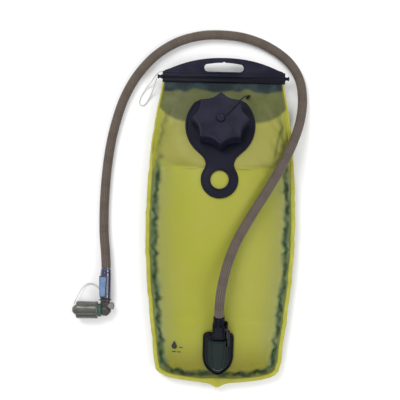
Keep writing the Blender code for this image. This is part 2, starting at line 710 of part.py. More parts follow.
def place_ring(name, mesh, major, minor, frame):
    """A rubber ring round the frame's +Z axis."""
    count = 6
    profile = []
    for k in range(count):
        angle = -math.tau * k / count + math.pi / 2
        profile.append((major + minor * math.cos(angle), minor * math.sin(angle)))
    bpy.data.meshes.remove(mesh)
    place(name, turned_mesh(name, profile, 16), "rubber", frame)


def make_hose():
    place_tube("hose", smooth_route(HOSE_ROUTE, 38), HOSE_RADIUS, "hose", 4)


def valve_axis(y):
    return (VALVE_X, y, VALVE_Z)


def make_socket():
    shape = rod_mesh("valve_socket", SOCKET_RADIUS, valve_axis(SOCKET_END_Y), valve_axis(SOCKET_TOP_Y), 20)
    socket = place("valve_socket", shape, "gloss_navy")
    round_edges(socket, 0.0010, 2)
    turned = Matrix.Translation(valve_axis(-0.0850)) @ Matrix.Rotation(-BUTTON_TURN, 4, "Y")
    frame_box = box_mesh("button_frame", (-0.0056, -0.0140, 0.0), (0.0056, 0.0140, 0.0086))
    join(socket, cutter("button_frame", frame_box, turned))
    bore = rod_mesh("socket_bore", BORE_RADIUS, valve_axis(SOCKET_END_Y - 0.01), valve_axis(-0.0810), 16)
    cut(socket, cutter("socket_bore", bore))
    passage = rod_mesh("socket_passage", 0.0024, valve_axis(-0.09), valve_axis(-0.05), 12)
    cut(socket, cutter("socket_passage", passage))
    pocket = box_mesh("socket_pocket", (-0.0046, -0.0128, 0.0058), (0.0046, 0.0128, 0.0120))
    cut(socket, cutter("socket_pocket", pocket, turned))
    button = box_mesh("valve_button", (-0.0042, -0.0124, 0.0080), (0.0042, 0.0124, 0.0096))
    round_edges(place("valve_button", button, "blue", turned), 0.0005, 2)
    coil = helix(0.0016, 0.0008, 1.8, 0.0061, per_turn=8)
    place_tube("valve_button_spring", coil, 0.00015, "steel", 1, turned)


def make_valve_plug():
    frame = Matrix.Translation(valve_axis(SOCKET_END_Y)) @ Matrix.Rotation(math.pi / 2, 4, "X")
    profile = [
        (0.0024, -0.0180), (0.0036, -0.0180), (NOZZLE_RADIUS, -0.0172), (NOZZLE_RADIUS, -0.0110),
        (0.0033, -0.0110), (0.0033, -0.0090), (NOZZLE_RADIUS, -0.0090), (NOZZLE_RADIUS, FIT + 0.0001),
        (0.0060, FIT + 0.0001), (0.0060, 0.0046), (0.0030, 0.0046), (0.0030, 0.0078), (0.0038, 0.0078),
        (0.0038, 0.0092), (0.0024, 0.0092),
    ]
    profile.reverse()
    place("valve_plug", turned_mesh("valve_plug", profile, 20), "grey", frame)
    turn = Matrix.Translation((0, 0, -0.0100))
    place_ring("valve_o_ring", bpy.data.meshes.new("valve_o_ring"), 0.00415, 0.00052, frame @ turn)
    ring = [(0.0065, 0.0034), (0.0078, 0.0030), (0.0078, 0.0014), (0.0065, 0.0010)]
    place("tether_ring", turned_mesh("tether_ring", ring, 20), "silicone", frame)


def make_elbow():
    top = SOCKET_END_Y - 0.0050
    upright = rod_mesh("elbow", 0.0064, valve_axis(top), valve_axis(ELBOW_Y), 20)
    elbow = place("elbow", upright, "grey")
    ball = bmesh.new()
    bmesh.ops.create_uvsphere(ball, u_segments=20, v_segments=12, radius=0.0072)
    join(elbow, cutter("elbow_ball", mesh_from(ball, "elbow_ball"), Matrix.Translation(valve_axis(ELBOW_Y))))
    end = (-0.1506, ELBOW_Y, VALVE_Z)
    join(elbow, cutter("elbow_arm", rod_mesh("elbow_arm", 0.0066, valve_axis(ELBOW_Y), end, 20)))
    face = box_mesh("collar_face", (-0.1700, -0.1300, 0.0), (-0.1506, -0.1066, 0.03))
    cut(elbow, cutter("collar_face", face))
    spout = (-0.1680, ELBOW_Y, VALVE_Z)
    join(elbow, cutter("elbow_spout", rod_mesh("elbow_spout", 0.0036, valve_axis(ELBOW_Y), spout, 16)))
    hub = rod_mesh("elbow_hub", 0.0046, (VALVE_X, -0.1100, VALVE_Z), (-0.1351, -0.1100, VALVE_Z), 16)
    join(elbow, cutter("elbow_hub_boss", hub))
    pit = rod_mesh("hub_pit", 0.0031, (-0.1372, -0.1100, VALVE_Z), (-0.1300, -0.1100, VALVE_Z), 16)
    cut(elbow, cutter("hub_pit", pit))
    seat = rod_mesh("swivel_seat", 0.0042, valve_axis(top - 0.0046), valve_axis(top - 0.0018), 16)
    cut(elbow, cutter("swivel_seat", seat))
    throat = rod_mesh("swivel_throat", 0.0034, valve_axis(top + 0.003), valve_axis(ELBOW_Y), 16)
    cut(elbow, cutter("swivel_throat", throat))
    flow = rod_mesh("elbow_flow", 0.0022, valve_axis(ELBOW_Y), (-0.1800, ELBOW_Y, VALVE_Z), 12)
    cut(elbow, cutter("elbow_flow", flow))
    cap = rod_mesh("hub_pin", 0.0027, (-0.1369, -0.1100, VALVE_Z), (-0.1346, -0.1100, VALVE_Z), 12)
    place("hub_pin", cap, "rubber")


def make_mouthpiece():
    frame = Matrix.Translation((VALVE_X, ELBOW_Y, VALVE_Z)) @ Matrix.Rotation(-math.pi / 2, 4, "Y")
    collar = [(0.0040, 0.0092), (0.0080, 0.0092), (0.0084, 0.0088), (0.0084, 0.0051), (0.0080, 0.0047), (0.0040, 0.0047)]
    place("valve_collar", turned_mesh("valve_collar", collar, 24), "teal", frame)
    bite = [
        (0, 0.0340), (0.0046, 0.0340), (0.0062, 0.0330), (0.0064, 0.0260), (0.0052, 0.0220), (0.0078, 0.0150),
        (0.0086, 0.0125), (0.0086, 0.0095), (0.0040, 0.0095), (0.0040, 0.0240), (0.0030, 0.0290), (0, 0.0300),
    ]
    mouth = place("bite_valve", turned_mesh("bite_valve", bite, 20), "silicone", frame)
    slit = box_mesh("bite_slit", (-0.0030, -0.0003, 0.0260), (0.0030, 0.0003, 0.0400))
    cut(mouth, cutter("bite_slit", slit, frame))
    end = VALVE_X - COVER_END_X
    start = VALVE_X - COVER_MOUTH_X
    cover = [
        (0.0012, end), (COVER_RADIUS - 0.0012, end), (COVER_RADIUS, end - 0.0012), (COVER_RADIUS, start + 0.0004),
        (COVER_RADIUS - 0.0004, start), (COVER_RADIUS - 0.0014, start), (COVER_RADIUS - 0.0014, end - 0.0016),
        (0.0012, end - 0.0016),
    ]
    place("dust_cover", turned_mesh("dust_cover", cover, 28), "olive", frame)
    tip = [
        (0, end + 0.0054), (0.0024, end + 0.0052), (0.0050, end + 0.0034), (0.0064, end + 0.0014),
        (0.0066, end + FIT), (0, end + FIT),
    ]
    place("cover_tip", turned_mesh("cover_tip", tip, 20), "olive", frame)
    place_tube("cover_tether", smooth_route(COVER_TETHER_ROUTE, 26), 0.0006, "string")


clear_scene()
PARTS = new_collection("hydration_bladder")
CUTTERS = new_collection("cutters")
make_films()
make_rod()
make_slider()
make_slider_tether()
make_filler()
make_plate()
make_cap()
make_leash_tag()
make_outlet()
make_hose_plug()
make_hose()
make_socket()
make_valve_plug()
make_elbow()
make_mouthpiece()
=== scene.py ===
"""Looks of the hydration bladder: welded film, woven hose, moulded plastics, studio and camera.

Metres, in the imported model's own frame: the bladder lies on its back, +Z up, +Y towards the handle.
"""

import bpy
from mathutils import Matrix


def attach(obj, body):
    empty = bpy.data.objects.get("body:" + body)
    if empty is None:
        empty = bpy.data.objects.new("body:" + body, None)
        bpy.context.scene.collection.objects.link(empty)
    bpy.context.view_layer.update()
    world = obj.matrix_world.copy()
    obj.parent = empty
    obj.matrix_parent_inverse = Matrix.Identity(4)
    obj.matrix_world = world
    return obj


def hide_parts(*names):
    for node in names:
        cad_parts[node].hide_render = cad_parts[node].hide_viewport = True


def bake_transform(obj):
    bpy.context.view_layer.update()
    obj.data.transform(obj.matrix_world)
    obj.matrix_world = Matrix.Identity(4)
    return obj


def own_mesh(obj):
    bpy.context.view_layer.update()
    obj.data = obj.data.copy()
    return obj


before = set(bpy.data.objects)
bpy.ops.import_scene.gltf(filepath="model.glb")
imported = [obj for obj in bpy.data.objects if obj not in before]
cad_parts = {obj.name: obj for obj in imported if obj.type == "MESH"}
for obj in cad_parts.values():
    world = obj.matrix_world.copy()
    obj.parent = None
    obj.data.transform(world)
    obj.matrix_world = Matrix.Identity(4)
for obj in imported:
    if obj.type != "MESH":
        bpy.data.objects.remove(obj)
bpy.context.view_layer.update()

import math

import bmesh
import bpy
import numpy as np
from mathutils import Matrix, Vector

# Reservoir film
FILM_THICK = 0.0008
FILM_GAP = 0.0003
SEAM_FACE = FILM_GAP / 2 + FILM_THICK
FLANGE = 0.005
FOOT_Y = -0.186
LIP_Y = 0.1835
BELLY_POWER = 2.3
BACK_FLAT = 0.60
SEAM_TOP_Z = 0.0175
SEAM_END_Z = 0.013
BOTTOM_WELD_Y = -0.2005
BOTTOM_Y = -0.2121
OUTLINE = [
    (0.1840, 0.0775), (0.1690, 0.0797), (0.1480, 0.0838), (0.1170, 0.0888), (0.0860, 0.0922),
    (0.0350, 0.0954), (-0.0070, 0.0962), (-0.0280, 0.0960), (-0.0790, 0.0929), (-0.1200, 0.0884),
    (-0.1610, 0.0836), (-0.1820, 0.0812), (-0.1900, 0.0790), (-0.1950, 0.0740), (-0.1985, 0.0670),
    (-0.2010, 0.0580), (-0.2035, 0.0420), (-0.2062, 0.0150), (-0.2078, 0.0095), (-0.2121, 0.0008),
]
PORT_SLOPE = 0.364
OUTLET_SLOPE = 0.44
CROWN = [
    (-0.2005, 0.0135, 1.40), (-0.1930, 0.0237, OUTLET_SLOPE), (-0.1640, 0.0365, OUTLET_SLOPE),
    (-0.1340, 0.0497, OUTLET_SLOPE), (-0.1100, 0.0562, 0.14), (-0.0700, 0.0600, 0.07),
    (-0.0200, 0.0618, 0.01), (0.0200, 0.0614, -0.03), (0.0550, 0.0578, -0.18),
    (0.0810, 0.0503, -PORT_SLOPE), (0.1230, 0.0350, -PORT_SLOPE), (0.1640, 0.0201, -PORT_SLOPE),
    (0.1705, 0.0179, -0.10), (0.1840, 0.0179, 0.0),
]

# Slide closure
ROD_Y = 0.1868
ROD_RADIUS = 0.00275
ROD_HALF = 0.0848
SLIDER_X = 0.0005
SLIDER_HALF = 0.0787
SLIDER_DEPTH = 0.0140
SLIDER_TALL = 0.0092
HANDLE_TOP_Y = 0.2121
HANDLE_THICK = 0.0042
HANDLE_FOOT = 0.0046

# Filler and cap
PORT_X = -0.0030
PORT_Y = 0.1241
PORT_HOLE = 0.0268
NECK_OUTER = 0.0256
NECK_INNER = 0.0226
NECK_TOP = 0.0203
THREAD_PITCH = 0.006
THREAD_RADIUS = 0.0009
PLATE_RADIUS = 0.0445
PLATE_CHORD = 0.0335
RING_Y = 0.0550
RING_RADIUS = 0.0236
RING_HOLE = 0.0115
CAP_BOTTOM = 0.0050
CAP_TOP = 0.0250
CAP_TIP_RADIUS = 0.0365
CAP_VALLEY_RADIUS = 0.0302
CAP_POINTS = 8

# Outlet
OUTLET_Y = -0.1640
OUTLET_LENGTH = 0.0610
OUTLET_HALF = 0.0195
OUTLET_HOLE = 0.0060
PLUG_LINE = 0.0090
PLUG_TOP = 0.0580
PLUG_FOOT = 0.0262
PLUG_RADIUS = 0.0080
NOZZLE_RADIUS = 0.0042
BORE_RADIUS = 0.0050

# Hose and valve
HOSE_RADIUS = 0.0060
VALVE_X = -0.1462
VALVE_Z = 0.0116
SOCKET_TOP_Y = -0.0620
SOCKET_END_Y = -0.1000
SOCKET_RADIUS = 0.0072
ELBOW_Y = -0.1157
HUB_Y = -0.1100
HUB_PIN_X = -0.1369
BALL_RADIUS = 0.0072
COVER_RADIUS = 0.0113
COVER_END_X = -0.1834
COVER_MOUTH_X = -0.1559
BUTTON_Y = -0.0850
BUTTON_TURN = math.radians(18)

FIT = 0.0003

# The radii of the thin cords, and the routes of hose and cords
LEASH_RADIUS = 0.0009
STRING_RADIUS = 0.0007
COVER_STRING_RADIUS = 0.0006

HOSE_ROUTE = [
    (0.0000, -0.1144, 0.0693), (0.0000, -0.1009, 0.0751), (0.0014, -0.0845, 0.0785),
    (0.0050, -0.0650, 0.0776), (0.0108, -0.0440, 0.0735), (0.0200, -0.0210, 0.0695),
    (0.0330, 0.0030, 0.0668), (0.0467, 0.0256, 0.0625), (0.0588, 0.0450, 0.0555),
    (0.0700, 0.0640, 0.0465), (0.0803, 0.0830, 0.0366), (0.0898, 0.1030, 0.0270),
    (0.0975, 0.1240, 0.0178), (0.1020, 0.1440, 0.0100), (0.1030, 0.1640, 0.0066),
    (0.0995, 0.1850, 0.0064), (0.0900, 0.2030, 0.0064), (0.0750, 0.2180, 0.0064),
    (0.0520, 0.2315, 0.0064), (0.0240, 0.2405, 0.0064), (-0.0065, 0.2432, 0.0064),
    (-0.0340, 0.2408, 0.0064), (-0.0620, 0.2318, 0.0064), (-0.0890, 0.2140, 0.0064),
    (-0.1110, 0.1890, 0.0064), (-0.1270, 0.1600, 0.0064), (-0.1375, 0.1280, 0.0064),
    (-0.1443, 0.0960, 0.0064), (-0.1485, 0.0600, 0.0064), (-0.1505, 0.0200, 0.0064),
    (-0.1500, -0.0150, 0.0072), (-0.1476, -0.0390, 0.0102), (-0.1463, -0.0550, 0.0115),
    (VALVE_X, -0.0612, VALVE_Z),
]
TETHER_ROUTE = [
    (-0.0789, 0.1930, 0.0185), (-0.0828, 0.1922, 0.0182), (-0.0872, 0.1880, 0.0140),
    (-0.0930, 0.1808, 0.0070), (-0.0985, 0.1738, 0.0022), (-0.1030, 0.1670, 0.0012),
    (-0.1066, 0.1600, 0.0012), (-0.1080, 0.1535, 0.0012), (-0.1055, 0.1500, 0.0012),
    (-0.1010, 0.1515, 0.0012), (-0.0965, 0.1580, 0.0014), (-0.0925, 0.1660, 0.0040),
    (-0.0890, 0.1750, 0.0100), (-0.0868, 0.1815, 0.0150), (-0.0858, 0.1842, 0.0170),
]
LEASH_ROUTE = [
    (0.0062, 0.0036, 0.0275), (0.0115, 0.0098, 0.0275), (0.0180, 0.0171, 0.0273),
    (0.0244, 0.0238, 0.0270), (0.0290, 0.0285, 0.0254), (0.0326, 0.0330, 0.0195),
    (0.0345, 0.0372, 0.0110), (0.0351, 0.0396, 0.0040),
]
COVER_TETHER_ROUTE = [
    (-0.1862, -0.1086, 0.0112), (-0.1850, -0.1040, 0.0096), (-0.1826, -0.0985, 0.0070),
    (-0.1786, -0.0905, 0.0040), (-0.1735, -0.0848, 0.0022), (-0.1678, -0.0826, 0.0014),
    (-0.1622, -0.0836, 0.0012), (-0.1572, -0.0872, 0.0012), (-0.1534, -0.0918, 0.0014),
    (-0.1522, -0.0955, 0.0014), (-0.1517, -0.0988, 0.0018), (-0.1517, -0.1012, 0.0038),
    (-0.1522, -0.1028, 0.0054),
]


# ---------------------------------------------------------------- camera, floor and light

def linked(name, data):
    """A new object of this data, in the scene."""
    made = bpy.data.objects.new(name, data)
    bpy.context.scene.collection.objects.link(made)
    return made


def make_camera():
    data = bpy.data.cameras.new("camera")
    data.sensor_width = 36.0
    data.lens = 103.8
    camera = linked("camera", data)
    camera.location = (-0.0268, 0.0290, 1.5)
    camera.rotation_euler = (0, 0, math.radians(1.22))
    bpy.context.scene.camera = camera


def make_floor():
    bm = bmesh.new()
    bmesh.ops.create_grid(bm, x_segments=8, y_segments=8, size=3.0)
    floor = linked("floor", mesh_from(bm))
    floor.location.z = -0.0002
    material, tree, shader, where = new_material("floor", 0.9)
    tone = mixed(tree, noise(tree, where, 40.0), (0.93, 0.93, 0.93, 1), (0.95, 0.95, 0.95, 1))
    tree.links.new(tone, shader.inputs["Base Color"])
    floor.data.materials.append(material)


def area_light(name, location, size, power):
    data = bpy.data.lights.new(name, "AREA")
    data.shape = "RECTANGLE"
    data.size, data.size_y = size
    data.energy = power
    light = linked(name, data)
    light.location = location
    light.rotation_euler = (-Vector(location)).to_track_quat("-Z", "Y").to_euler()


def make_light():
    scene = bpy.context.scene
    scene.view_settings.view_transform = "Standard"
    scene.view_settings.look = "None"
    world = bpy.data.worlds.new("studio")
    world.use_nodes = True
    back = world.node_tree.nodes["Background"]
    back.inputs["Color"].default_value = (1.0, 1.0, 1.0, 1)
    back.inputs["Strength"].default_value = 0.62
    scene.world = world
    area_light("key", (-0.9, 1.3, 1.9), (1.2, 1.2), 34)
    area_light("fill", (1.4, -0.3, 1.6), (1.0, 1.0), 14)
    area_light("low", (-0.4, -1.6, 1.2), (1.6, 0.8), 9)


# ---------------------------------------------------------------- materials

def rgb(red, green, blue):
    """A linear colour from screen values of 0 to 255."""
    found = []
    for value in (red, green, blue):
        share = value / 255
        found.append(share / 12.92 if share <= 0.04045 else ((share + 0.055) / 1.055) ** 2.4)
    return (*found, 1.0)


def shaded(colour, share, blue=None, lift=0.0):
    """The colour times a share, its blue perhaps times another, plus lift, at most 1."""
    values = (colour[0] * share, colour[1] * share, colour[2] * (share if blue is None else blue))
    return tuple(min(value + lift, 1.0) for value in values) + (1.0,)


def new_material(name, roughness, **sockets):
    """A material, its tree and shader, and the object's own coordinates."""
    material = bpy.data.materials.new(name)
    material.use_nodes = True
    tree = material.node_tree
    shader = tree.nodes["Principled BSDF"]
    shader.inputs["Roughness"].default_value = roughness
    for key, value in sockets.items():
        shader.inputs[key.replace("_", " ")].default_value = value
    return material, tree, shader, node(tree, "TexCoord").outputs["Object"]


def node(tree, kind, values=None, **settings):
    """A shader node: values sets or links its inputs, settings its properties."""
    made = tree.nodes.new("ShaderNode" + kind)
    for key, value in settings.items():
        setattr(made, key, value)
    for key, value in (values or {}).items():
        if isinstance(value, bpy.types.NodeSocket):
            tree.links.new(value, made.inputs[key])
        else:
            made.inputs[key].default_value = value
    return made


def noise(tree, where, scale, detail=3.0, rough=0.5):
    values = {"Vector": where, "Scale": scale, "Detail": detail, "Roughness": rough}
    return node(tree, "TexNoise", values).outputs["Fac"]


def mixed(tree, factor, a, b):
    return node(tree, "Mix", {0: factor, 6: a, 7: b}, data_type="RGBA").outputs[2]


def math_node(tree, operation, a, b=0.0):
    return node(tree, "Math", {0: a, 1: b}, operation=operation).outputs[0]


def graded(tree, value, low, high, to_low=0.0, to_high=1.0):
    """The value's place between low and high, eased, as to_low to to_high."""
    values = {"Value": value, "From Min": low, "From Max": high, "To Min": to_low, "To Max": to_high}
    return node(tree, "MapRange", values, interpolation_type="SMOOTHSTEP").outputs["Result"]


def stretched(tree, where, scale):
    return node(tree, "Mapping", {"Vector": where, "Scale": scale}).outputs["Vector"]


def attribute(tree, name):
    return node(tree, "Attribute", attribute_name=name)


def along_y(tree, where):
    return node(tree, "SeparateXYZ", {0: where}).outputs["Y"]


def finish(tree, shader, colour, height, distance):
    """Gives the shader its colour and a bump from a height."""
    bump = node(tree, "Bump", {"Height": height, "Distance": distance, "Strength": 1.0})
    tree.links.new(bump.outputs["Normal"], shader.inputs["Normal"])
    tree.links.new(colour, shader.inputs["Base Color"])


def plastic(name, colour, roughness, grain=0.00004, grain_scale=2600.0, below=None, level=0.5, **sockets):
    """Moulded plastic: a fine spark-eroded grain, faint flow marks and scuffs that vary its gloss.

    below = (start, full, share) paints shade on it, darkening it to a share of its colour from one height in Y
    down to another.
    """
    material, tree, shader, where = new_material(name, roughness, Specular_IOR_Level=level, **sockets)
    cloud = noise(tree, where, 55.0, 4.0)
    scuff = noise(tree, stretched(tree, where, (260.0, 900.0, 400.0)), 1.0, 5.0, 0.65)
    light = shaded(colour, 1.22, 1.20, 0.001)
    tone = mixed(tree, graded(tree, cloud, 0.32, 0.68), shaded(colour, 0.80, 0.82), light)
    body = mixed(tree, graded(tree, scuff, 0.66, 0.78, 0.0, 0.35), tone, shaded(light, 1.7, lift=0.006))
    # Painted shade: darker from one height in Y down to another.
    if below:
        start, full, share = below
        body = mixed(tree, graded(tree, along_y(tree, where), start, full), body, shaded(colour, share))
    gloss = graded(tree, cloud, 0.3, 0.7, max(roughness - 0.06, 0.05), min(roughness + 0.08, 1.0))
    tree.links.new(gloss, shader.inputs["Roughness"])
    finish(tree, shader, body, noise(tree, where, grain_scale, 2.0), grain)
    return material


def braided(name, dark, light, around, pitch, depth, **sockets):
    """Woven sleeve or cord: two crossing sets of strands, over and under in diamonds."""
    material, tree, shader, where = new_material(name, 0.85, **sockets)
    place = node(tree, "SeparateXYZ", {0: attribute(tree, "weave").outputs["Vector"]})
    turn = math_node(tree, "MULTIPLY", place.outputs["X"], around * math.pi)
    run = math_node(tree, "MULTIPLY", place.outputs["Y"], math.pi / pitch)
    one = math_node(tree, "SINE", math_node(tree, "ADD", turn, run))
    two = math_node(tree, "SINE", math_node(tree, "SUBTRACT", turn, run))
    lattice = math_node(tree, "MULTIPLY", one, two)
    over = graded(tree, lattice, -0.35, 0.35)
    edge = graded(tree, math_node(tree, "ABSOLUTE", lattice), 0.0, 0.40)
    cloud = noise(tree, where, 130.0, 4.0)
    fibre = noise(tree, where, 3800.0, 2.0)
    strand = mixed(tree, over, dark, light)
    worn = mixed(tree, graded(tree, cloud, 0.35, 0.7, 0.0, 0.45), strand, light)
    shade = mixed(tree, graded(tree, edge, 0.0, 0.6), shaded(dark, 0.25), worn)
    fleck = mixed(tree, graded(tree, fibre, 0.3, 0.8, 0.0, 0.30), shade, light)
    relief = math_node(tree, "ADD", edge, math_node(tree, "MULTIPLY", fibre, 0.35))
    finish(tree, shader, fleck, relief, depth)
    return material


def film_material():
    """Tinted film: yellow-green where it lies flat, dark green in the folds along its welds, where it lies in
    more layers, with painted shade there too; also painted shade in a band beside the welds and along creases,
    a dark strip under the closure with the slider's painted shadow, and a painted sheen near the welds.
    """
    material, tree, shader, where = new_material(
        "film", 0.45, Specular_IOR_Level=0.22, Subsurface_Weight=0.15, Subsurface_Radius=(0.010, 0.010, 0.004),
        Subsurface_Scale=0.5,
    )
    along = along_y(tree, where)
    cloud = noise(tree, where, 14.0, 4.0)
    blot = noise(tree, where, 42.0, 3.0, 0.55)
    fine = noise(tree, where, 90.0, 5.0, 0.6)

    def tone(red, green, blue):
        return shaded(rgb(red, green, blue), 0.78)

    def laid(body, name, colour, share=1.0):
        mask = attribute(tree, name).outputs["Fac"]
        return mixed(tree, mask if share == 1.0 else math_node(tree, "MULTIPLY", mask, share), body, colour)

    body = mixed(tree, graded(tree, cloud, 0.3, 0.7), tone(167, 169, 56), tone(170, 170, 68))
    # A pale haze near the welds: painted sheen.
    body = laid(body, "haze", tone(152, 155, 96), 0.75)
    body = mixed(tree, graded(tree, along, -0.140, -0.194), body, tone(134, 130, 26))
    over = mixed(tree, graded(tree, cloud, 0.35, 0.65), tone(148, 147, 64), tone(160, 158, 80))
    body = laid(body, "upper", over, 0.9)
    shadow = mixed(tree, graded(tree, blot, 0.35, 0.65), tone(84, 90, 50), tone(96, 101, 60))
    body = laid(body, "crown", shadow)
    # Darker along a long crease at the right, as painted shade, and along a line across the film at y = 0.07.
    body = laid(body, "crease", tone(92, 98, 48), 0.75)
    # A greyer band beside the side and bottom welds, where the film slopes down to them: painted shade.
    band = mixed(tree, graded(tree, blot, 0.40, 0.60), tone(84, 108, 70), tone(112, 130, 90))
    band = mixed(tree, graded(tree, along, -0.180, -0.194), band, tone(92, 100, 30))
    body = laid(body, "band", band)
    # Folds along the welds: dark green where the film lies in more layers, darkened further as painted shade,
    # darkest at the bottom.
    fold = mixed(tree, graded(tree, fine, 0.30, 0.70), tone(38, 64, 42), tone(58, 84, 50))
    fold = mixed(tree, graded(tree, along, -0.184, -0.196), fold, tone(34, 48, 12))
    body = laid(body, "fold", fold)
    # The dark teal strip under the closure: two layers of film, and the slider's painted shadow.
    lip_film_and_shadow = mixed(tree, graded(tree, blot, 0.42, 0.58), tone(24, 38, 43), tone(44, 62, 63))
    body = laid(body, "lip", lip_film_and_shadow)
    strip = mixed(tree, graded(tree, fine, 0.3, 0.7), tone(180, 178, 62), tone(192, 190, 84))
    body = laid(body, "weld", strip)
    body = laid(body, "weld_line", tone(128, 124, 36))
    tree.links.new(graded(tree, fine, 0.3, 0.7, 0.40, 0.54), shader.inputs["Roughness"])
    texture = math_node(tree, "ADD", noise(tree, where, 900.0, 3.0), math_node(tree, "MULTIPLY", fine, 2.5))
    finish(tree, shader, body, texture, 0.00008)
    return material


def cover_material():
    """Smoky see-through plastic with faint moulding swirls, and painted shade darkening its lower side."""
    colour = rgb(112, 112, 104)
    material, tree, shader, where = new_material("olive_plastic", 0.16, Transmission_Weight=0.35, IOR=1.45)
    swirl = noise(tree, where, 120.0, 4.0)
    body = mixed(tree, graded(tree, swirl, 0.3, 0.7), shaded(colour, 0.6), colour)
    # Painted shade: darker below the valve's axis.
    lower = graded(tree, along_y(tree, where), ELBOW_Y + 0.0010, ELBOW_Y - 0.0040)
    body = mixed(tree, lower, body, shaded(colour, 0.42, 0.46))
    finish(tree, shader, body, noise(tree, where, 1500.0, 2.0), 0.00002)
    return material


def steel_material():
    material, tree, shader, where = new_material("spring_steel", 0.28, Metallic=1.0)
    drawn = noise(tree, stretched(tree, where, (3000.0, 300.0, 300.0)), 1.0, 3.0)
    finish(tree, shader, mixed(tree, drawn, rgb(150, 152, 158), rgb(205, 206, 210)), drawn, 0.00002)
    return material


COAT = {"Coat_Weight": 1.0, "Coat_Roughness": 0.05, "Coat_IOR": 1.65}
PLASTICS = {
    "navy_plastic": ((25, 25, 42), 0.42, {"level": 0.14}),
    # The closure bar's lower half is darkened: painted shade.
    "closure_navy_painted_shade": ((26, 26, 42), 0.42, {"below": (0.1886, 0.1872, 0.38), "level": 0.12}),
    "dark_soft_plastic": ((18, 19, 34), 0.55, {"grain": 0.00006, "grain_scale": 1800.0, "level": 0.12}),
    "black_rubber": ((13, 13, 15), 0.72, {"grain": 0.00005, "grain_scale": 2200.0, "level": 0.3}),
    "green_black_plastic": ((17, 29, 28), 0.28, {"grain": 0.00002, "level": 0.11}),
    # Light grey standing for the highlight on the housing's rounded foot: painted highlight.
    "outlet_painted_highlight": ((112, 124, 130), 0.20, {"grain": 0.00002}),
    "outlet_button": ((12, 13, 28), 0.22, {"grain": 0.000006, "level": 0.25}),
    "outlet_edge": ((7, 9, 13), 0.30, {"grain": 0.00002, "level": 0.12}),
    "glossy_navy": ((8, 9, 20), 0.20, {"grain": 0.00001, "level": 0.07}),
    "socket_navy": ((13, 17, 66), 0.14, {"grain": 0.000006, **COAT}),
    # Light blue: a painted reflection on the glossy navy release button.
    "blue_plastic": ((98, 122, 158), 0.24, {"grain": 0.00001, "level": 0.35}),
    "grey_plastic": ((60, 58, 57), 0.34, {"level": 0.35}),
    "pale_grey": ((122, 119, 118), 0.36, {"level": 0.35}),
    "teal_plastic": ((30, 66, 58), 0.32, {"grain": 0.00002}),
    "pale_silicone": ((150, 166, 170), 0.38, {"grain": 0.00003, "grain_scale": 900.0}),
    "print_ink": ((22, 22, 12), 0.5, {}),
}


def make_materials():
    """Every finish by its own name, which for most is the name of its slot in the record."""
    made = {"film": film_material(), "steel": steel_material(), "olive_plastic": cover_material()}
    for name, (colour, roughness, more) in PLASTICS.items():
        made[name] = plastic(name, rgb(*colour), roughness, **more)
    for name, dark, light, around, pitch, depth, sheen in (
        ("grey_string", (184, 186, 186), (228, 230, 228), 3, 0.0012, 0.0001, 0.0),
        ("black_cord", (8, 8, 10), (22, 22, 27), 6, 0.0016, 0.0001, 0.0),
        ("hose_sleeve", (85, 74, 65), (93, 82, 73), 16, 0.0300, 0.00012, 0.06),
    ):
        made[name] = braided(name, rgb(*dark), rgb(*light), around, pitch, depth, Sheen_Weight=sheen)
    return made


# ---------------------------------------------------------------- mesh helpers

def mesh_from(bm):
    mesh = bpy.data.meshes.new("mesh")
    bm.to_mesh(mesh)
    bm.free()
    return mesh


def dress(mesh, material):
    mesh.materials.clear()
    mesh.materials.append(MATERIALS[material])


def piece(name, mesh, body, slot, replaces=(), material=None, place=None, sharp=38):
    """A visible piece of this mesh that rides on a body and stands for the nodes it replaces."""
    if place is not None:
        mesh.transform(place)
    mesh.name = name
    obj = linked(name, mesh)
    dress(mesh, material or slot)
    mesh.shade_smooth()
    mesh.set_sharp_from_angle(angle=math.radians(sharp))
    if body:
        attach(obj, body)
    if replaces:
        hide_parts(*replaces)
    return obj


def joined(*meshes):
    """One mesh of several closed shells."""
    bm = bmesh.new()
    for mesh in meshes:
        bm.from_mesh(mesh)
        bpy.data.meshes.remove(mesh)
    return mesh_from(bm)


def moved(mesh, matrix):
    mesh.transform(matrix)
    return mesh


def ring_of(bm, spots):
    """A ring of points, one (radius, height) for each equal step of angle."""
    found = []
    for k, (radius, height) in enumerate(spots):
        angle = math.tau * k / len(spots)
        found.append(bm.verts.new((radius * math.cos(angle), radius * math.sin(angle), height)))
    return found


def turned(profile, steps=64, shape=None):
    """A turned shell round +Z from (radius, height) points, closed at the axis or round to its start.
    shape(angle, radius) may change a radius."""
    bm = bmesh.new()
    rings = []
    for radius, height in profile:
        reach = [shape(math.tau * k / steps, radius) if shape else radius for k in range(steps)]
        rings.append(ring_of(bm, [(value, height) for value in reach] if radius else [(0, height)]))
    return skinned(bm, rings, profile[0][0] > 0 and profile[-1][0] > 0)


def skinned(bm, rings, endless):
    """The shell between neighbouring rings, and from the last to the first if it is endless."""
    for upper, lower in zip(rings, rings[1:] + (rings[:1] if endless else [])):
        bridge(bm, upper, lower)
    bmesh.ops.recalc_face_normals(bm, faces=bm.faces)
    return mesh_from(bm)


def bridge(bm, upper, lower):
    """Faces between two rings, either of which may be a single point."""
    count = max(len(upper), len(lower))
    for k in range(count):
        after = (k + 1) % count
        if len(upper) == 1:
            bm.faces.new((upper[0], lower[k], lower[after]))
        elif len(lower) == 1:
            bm.faces.new((upper[k], lower[0], upper[after]))
        else:
            bm.faces.new((upper[k], lower[k], lower[after], upper[after]))


def rounded_profile(points, radius, segments=4):
    """The profile with each inner corner rounded by a short curve."""
    found = [points[0]]
    for before, corner, after in zip(points, points[1:], points[2:]):
        a, b, c = Vector(before), Vector(corner), Vector(after)
        reach = min(radius, (a - b).length * 0.45, (c - b).length * 0.45)
        start = b + (a - b).normalized() * reach
        end = b + (c - b).normalized() * reach
        for k in range(segments + 1):
            t = k / segments
            found.append(tuple(start * (1 - t) ** 2 + b * 2 * t * (1 - t) + end * t * t))
    found.append(points[-1])
    return found


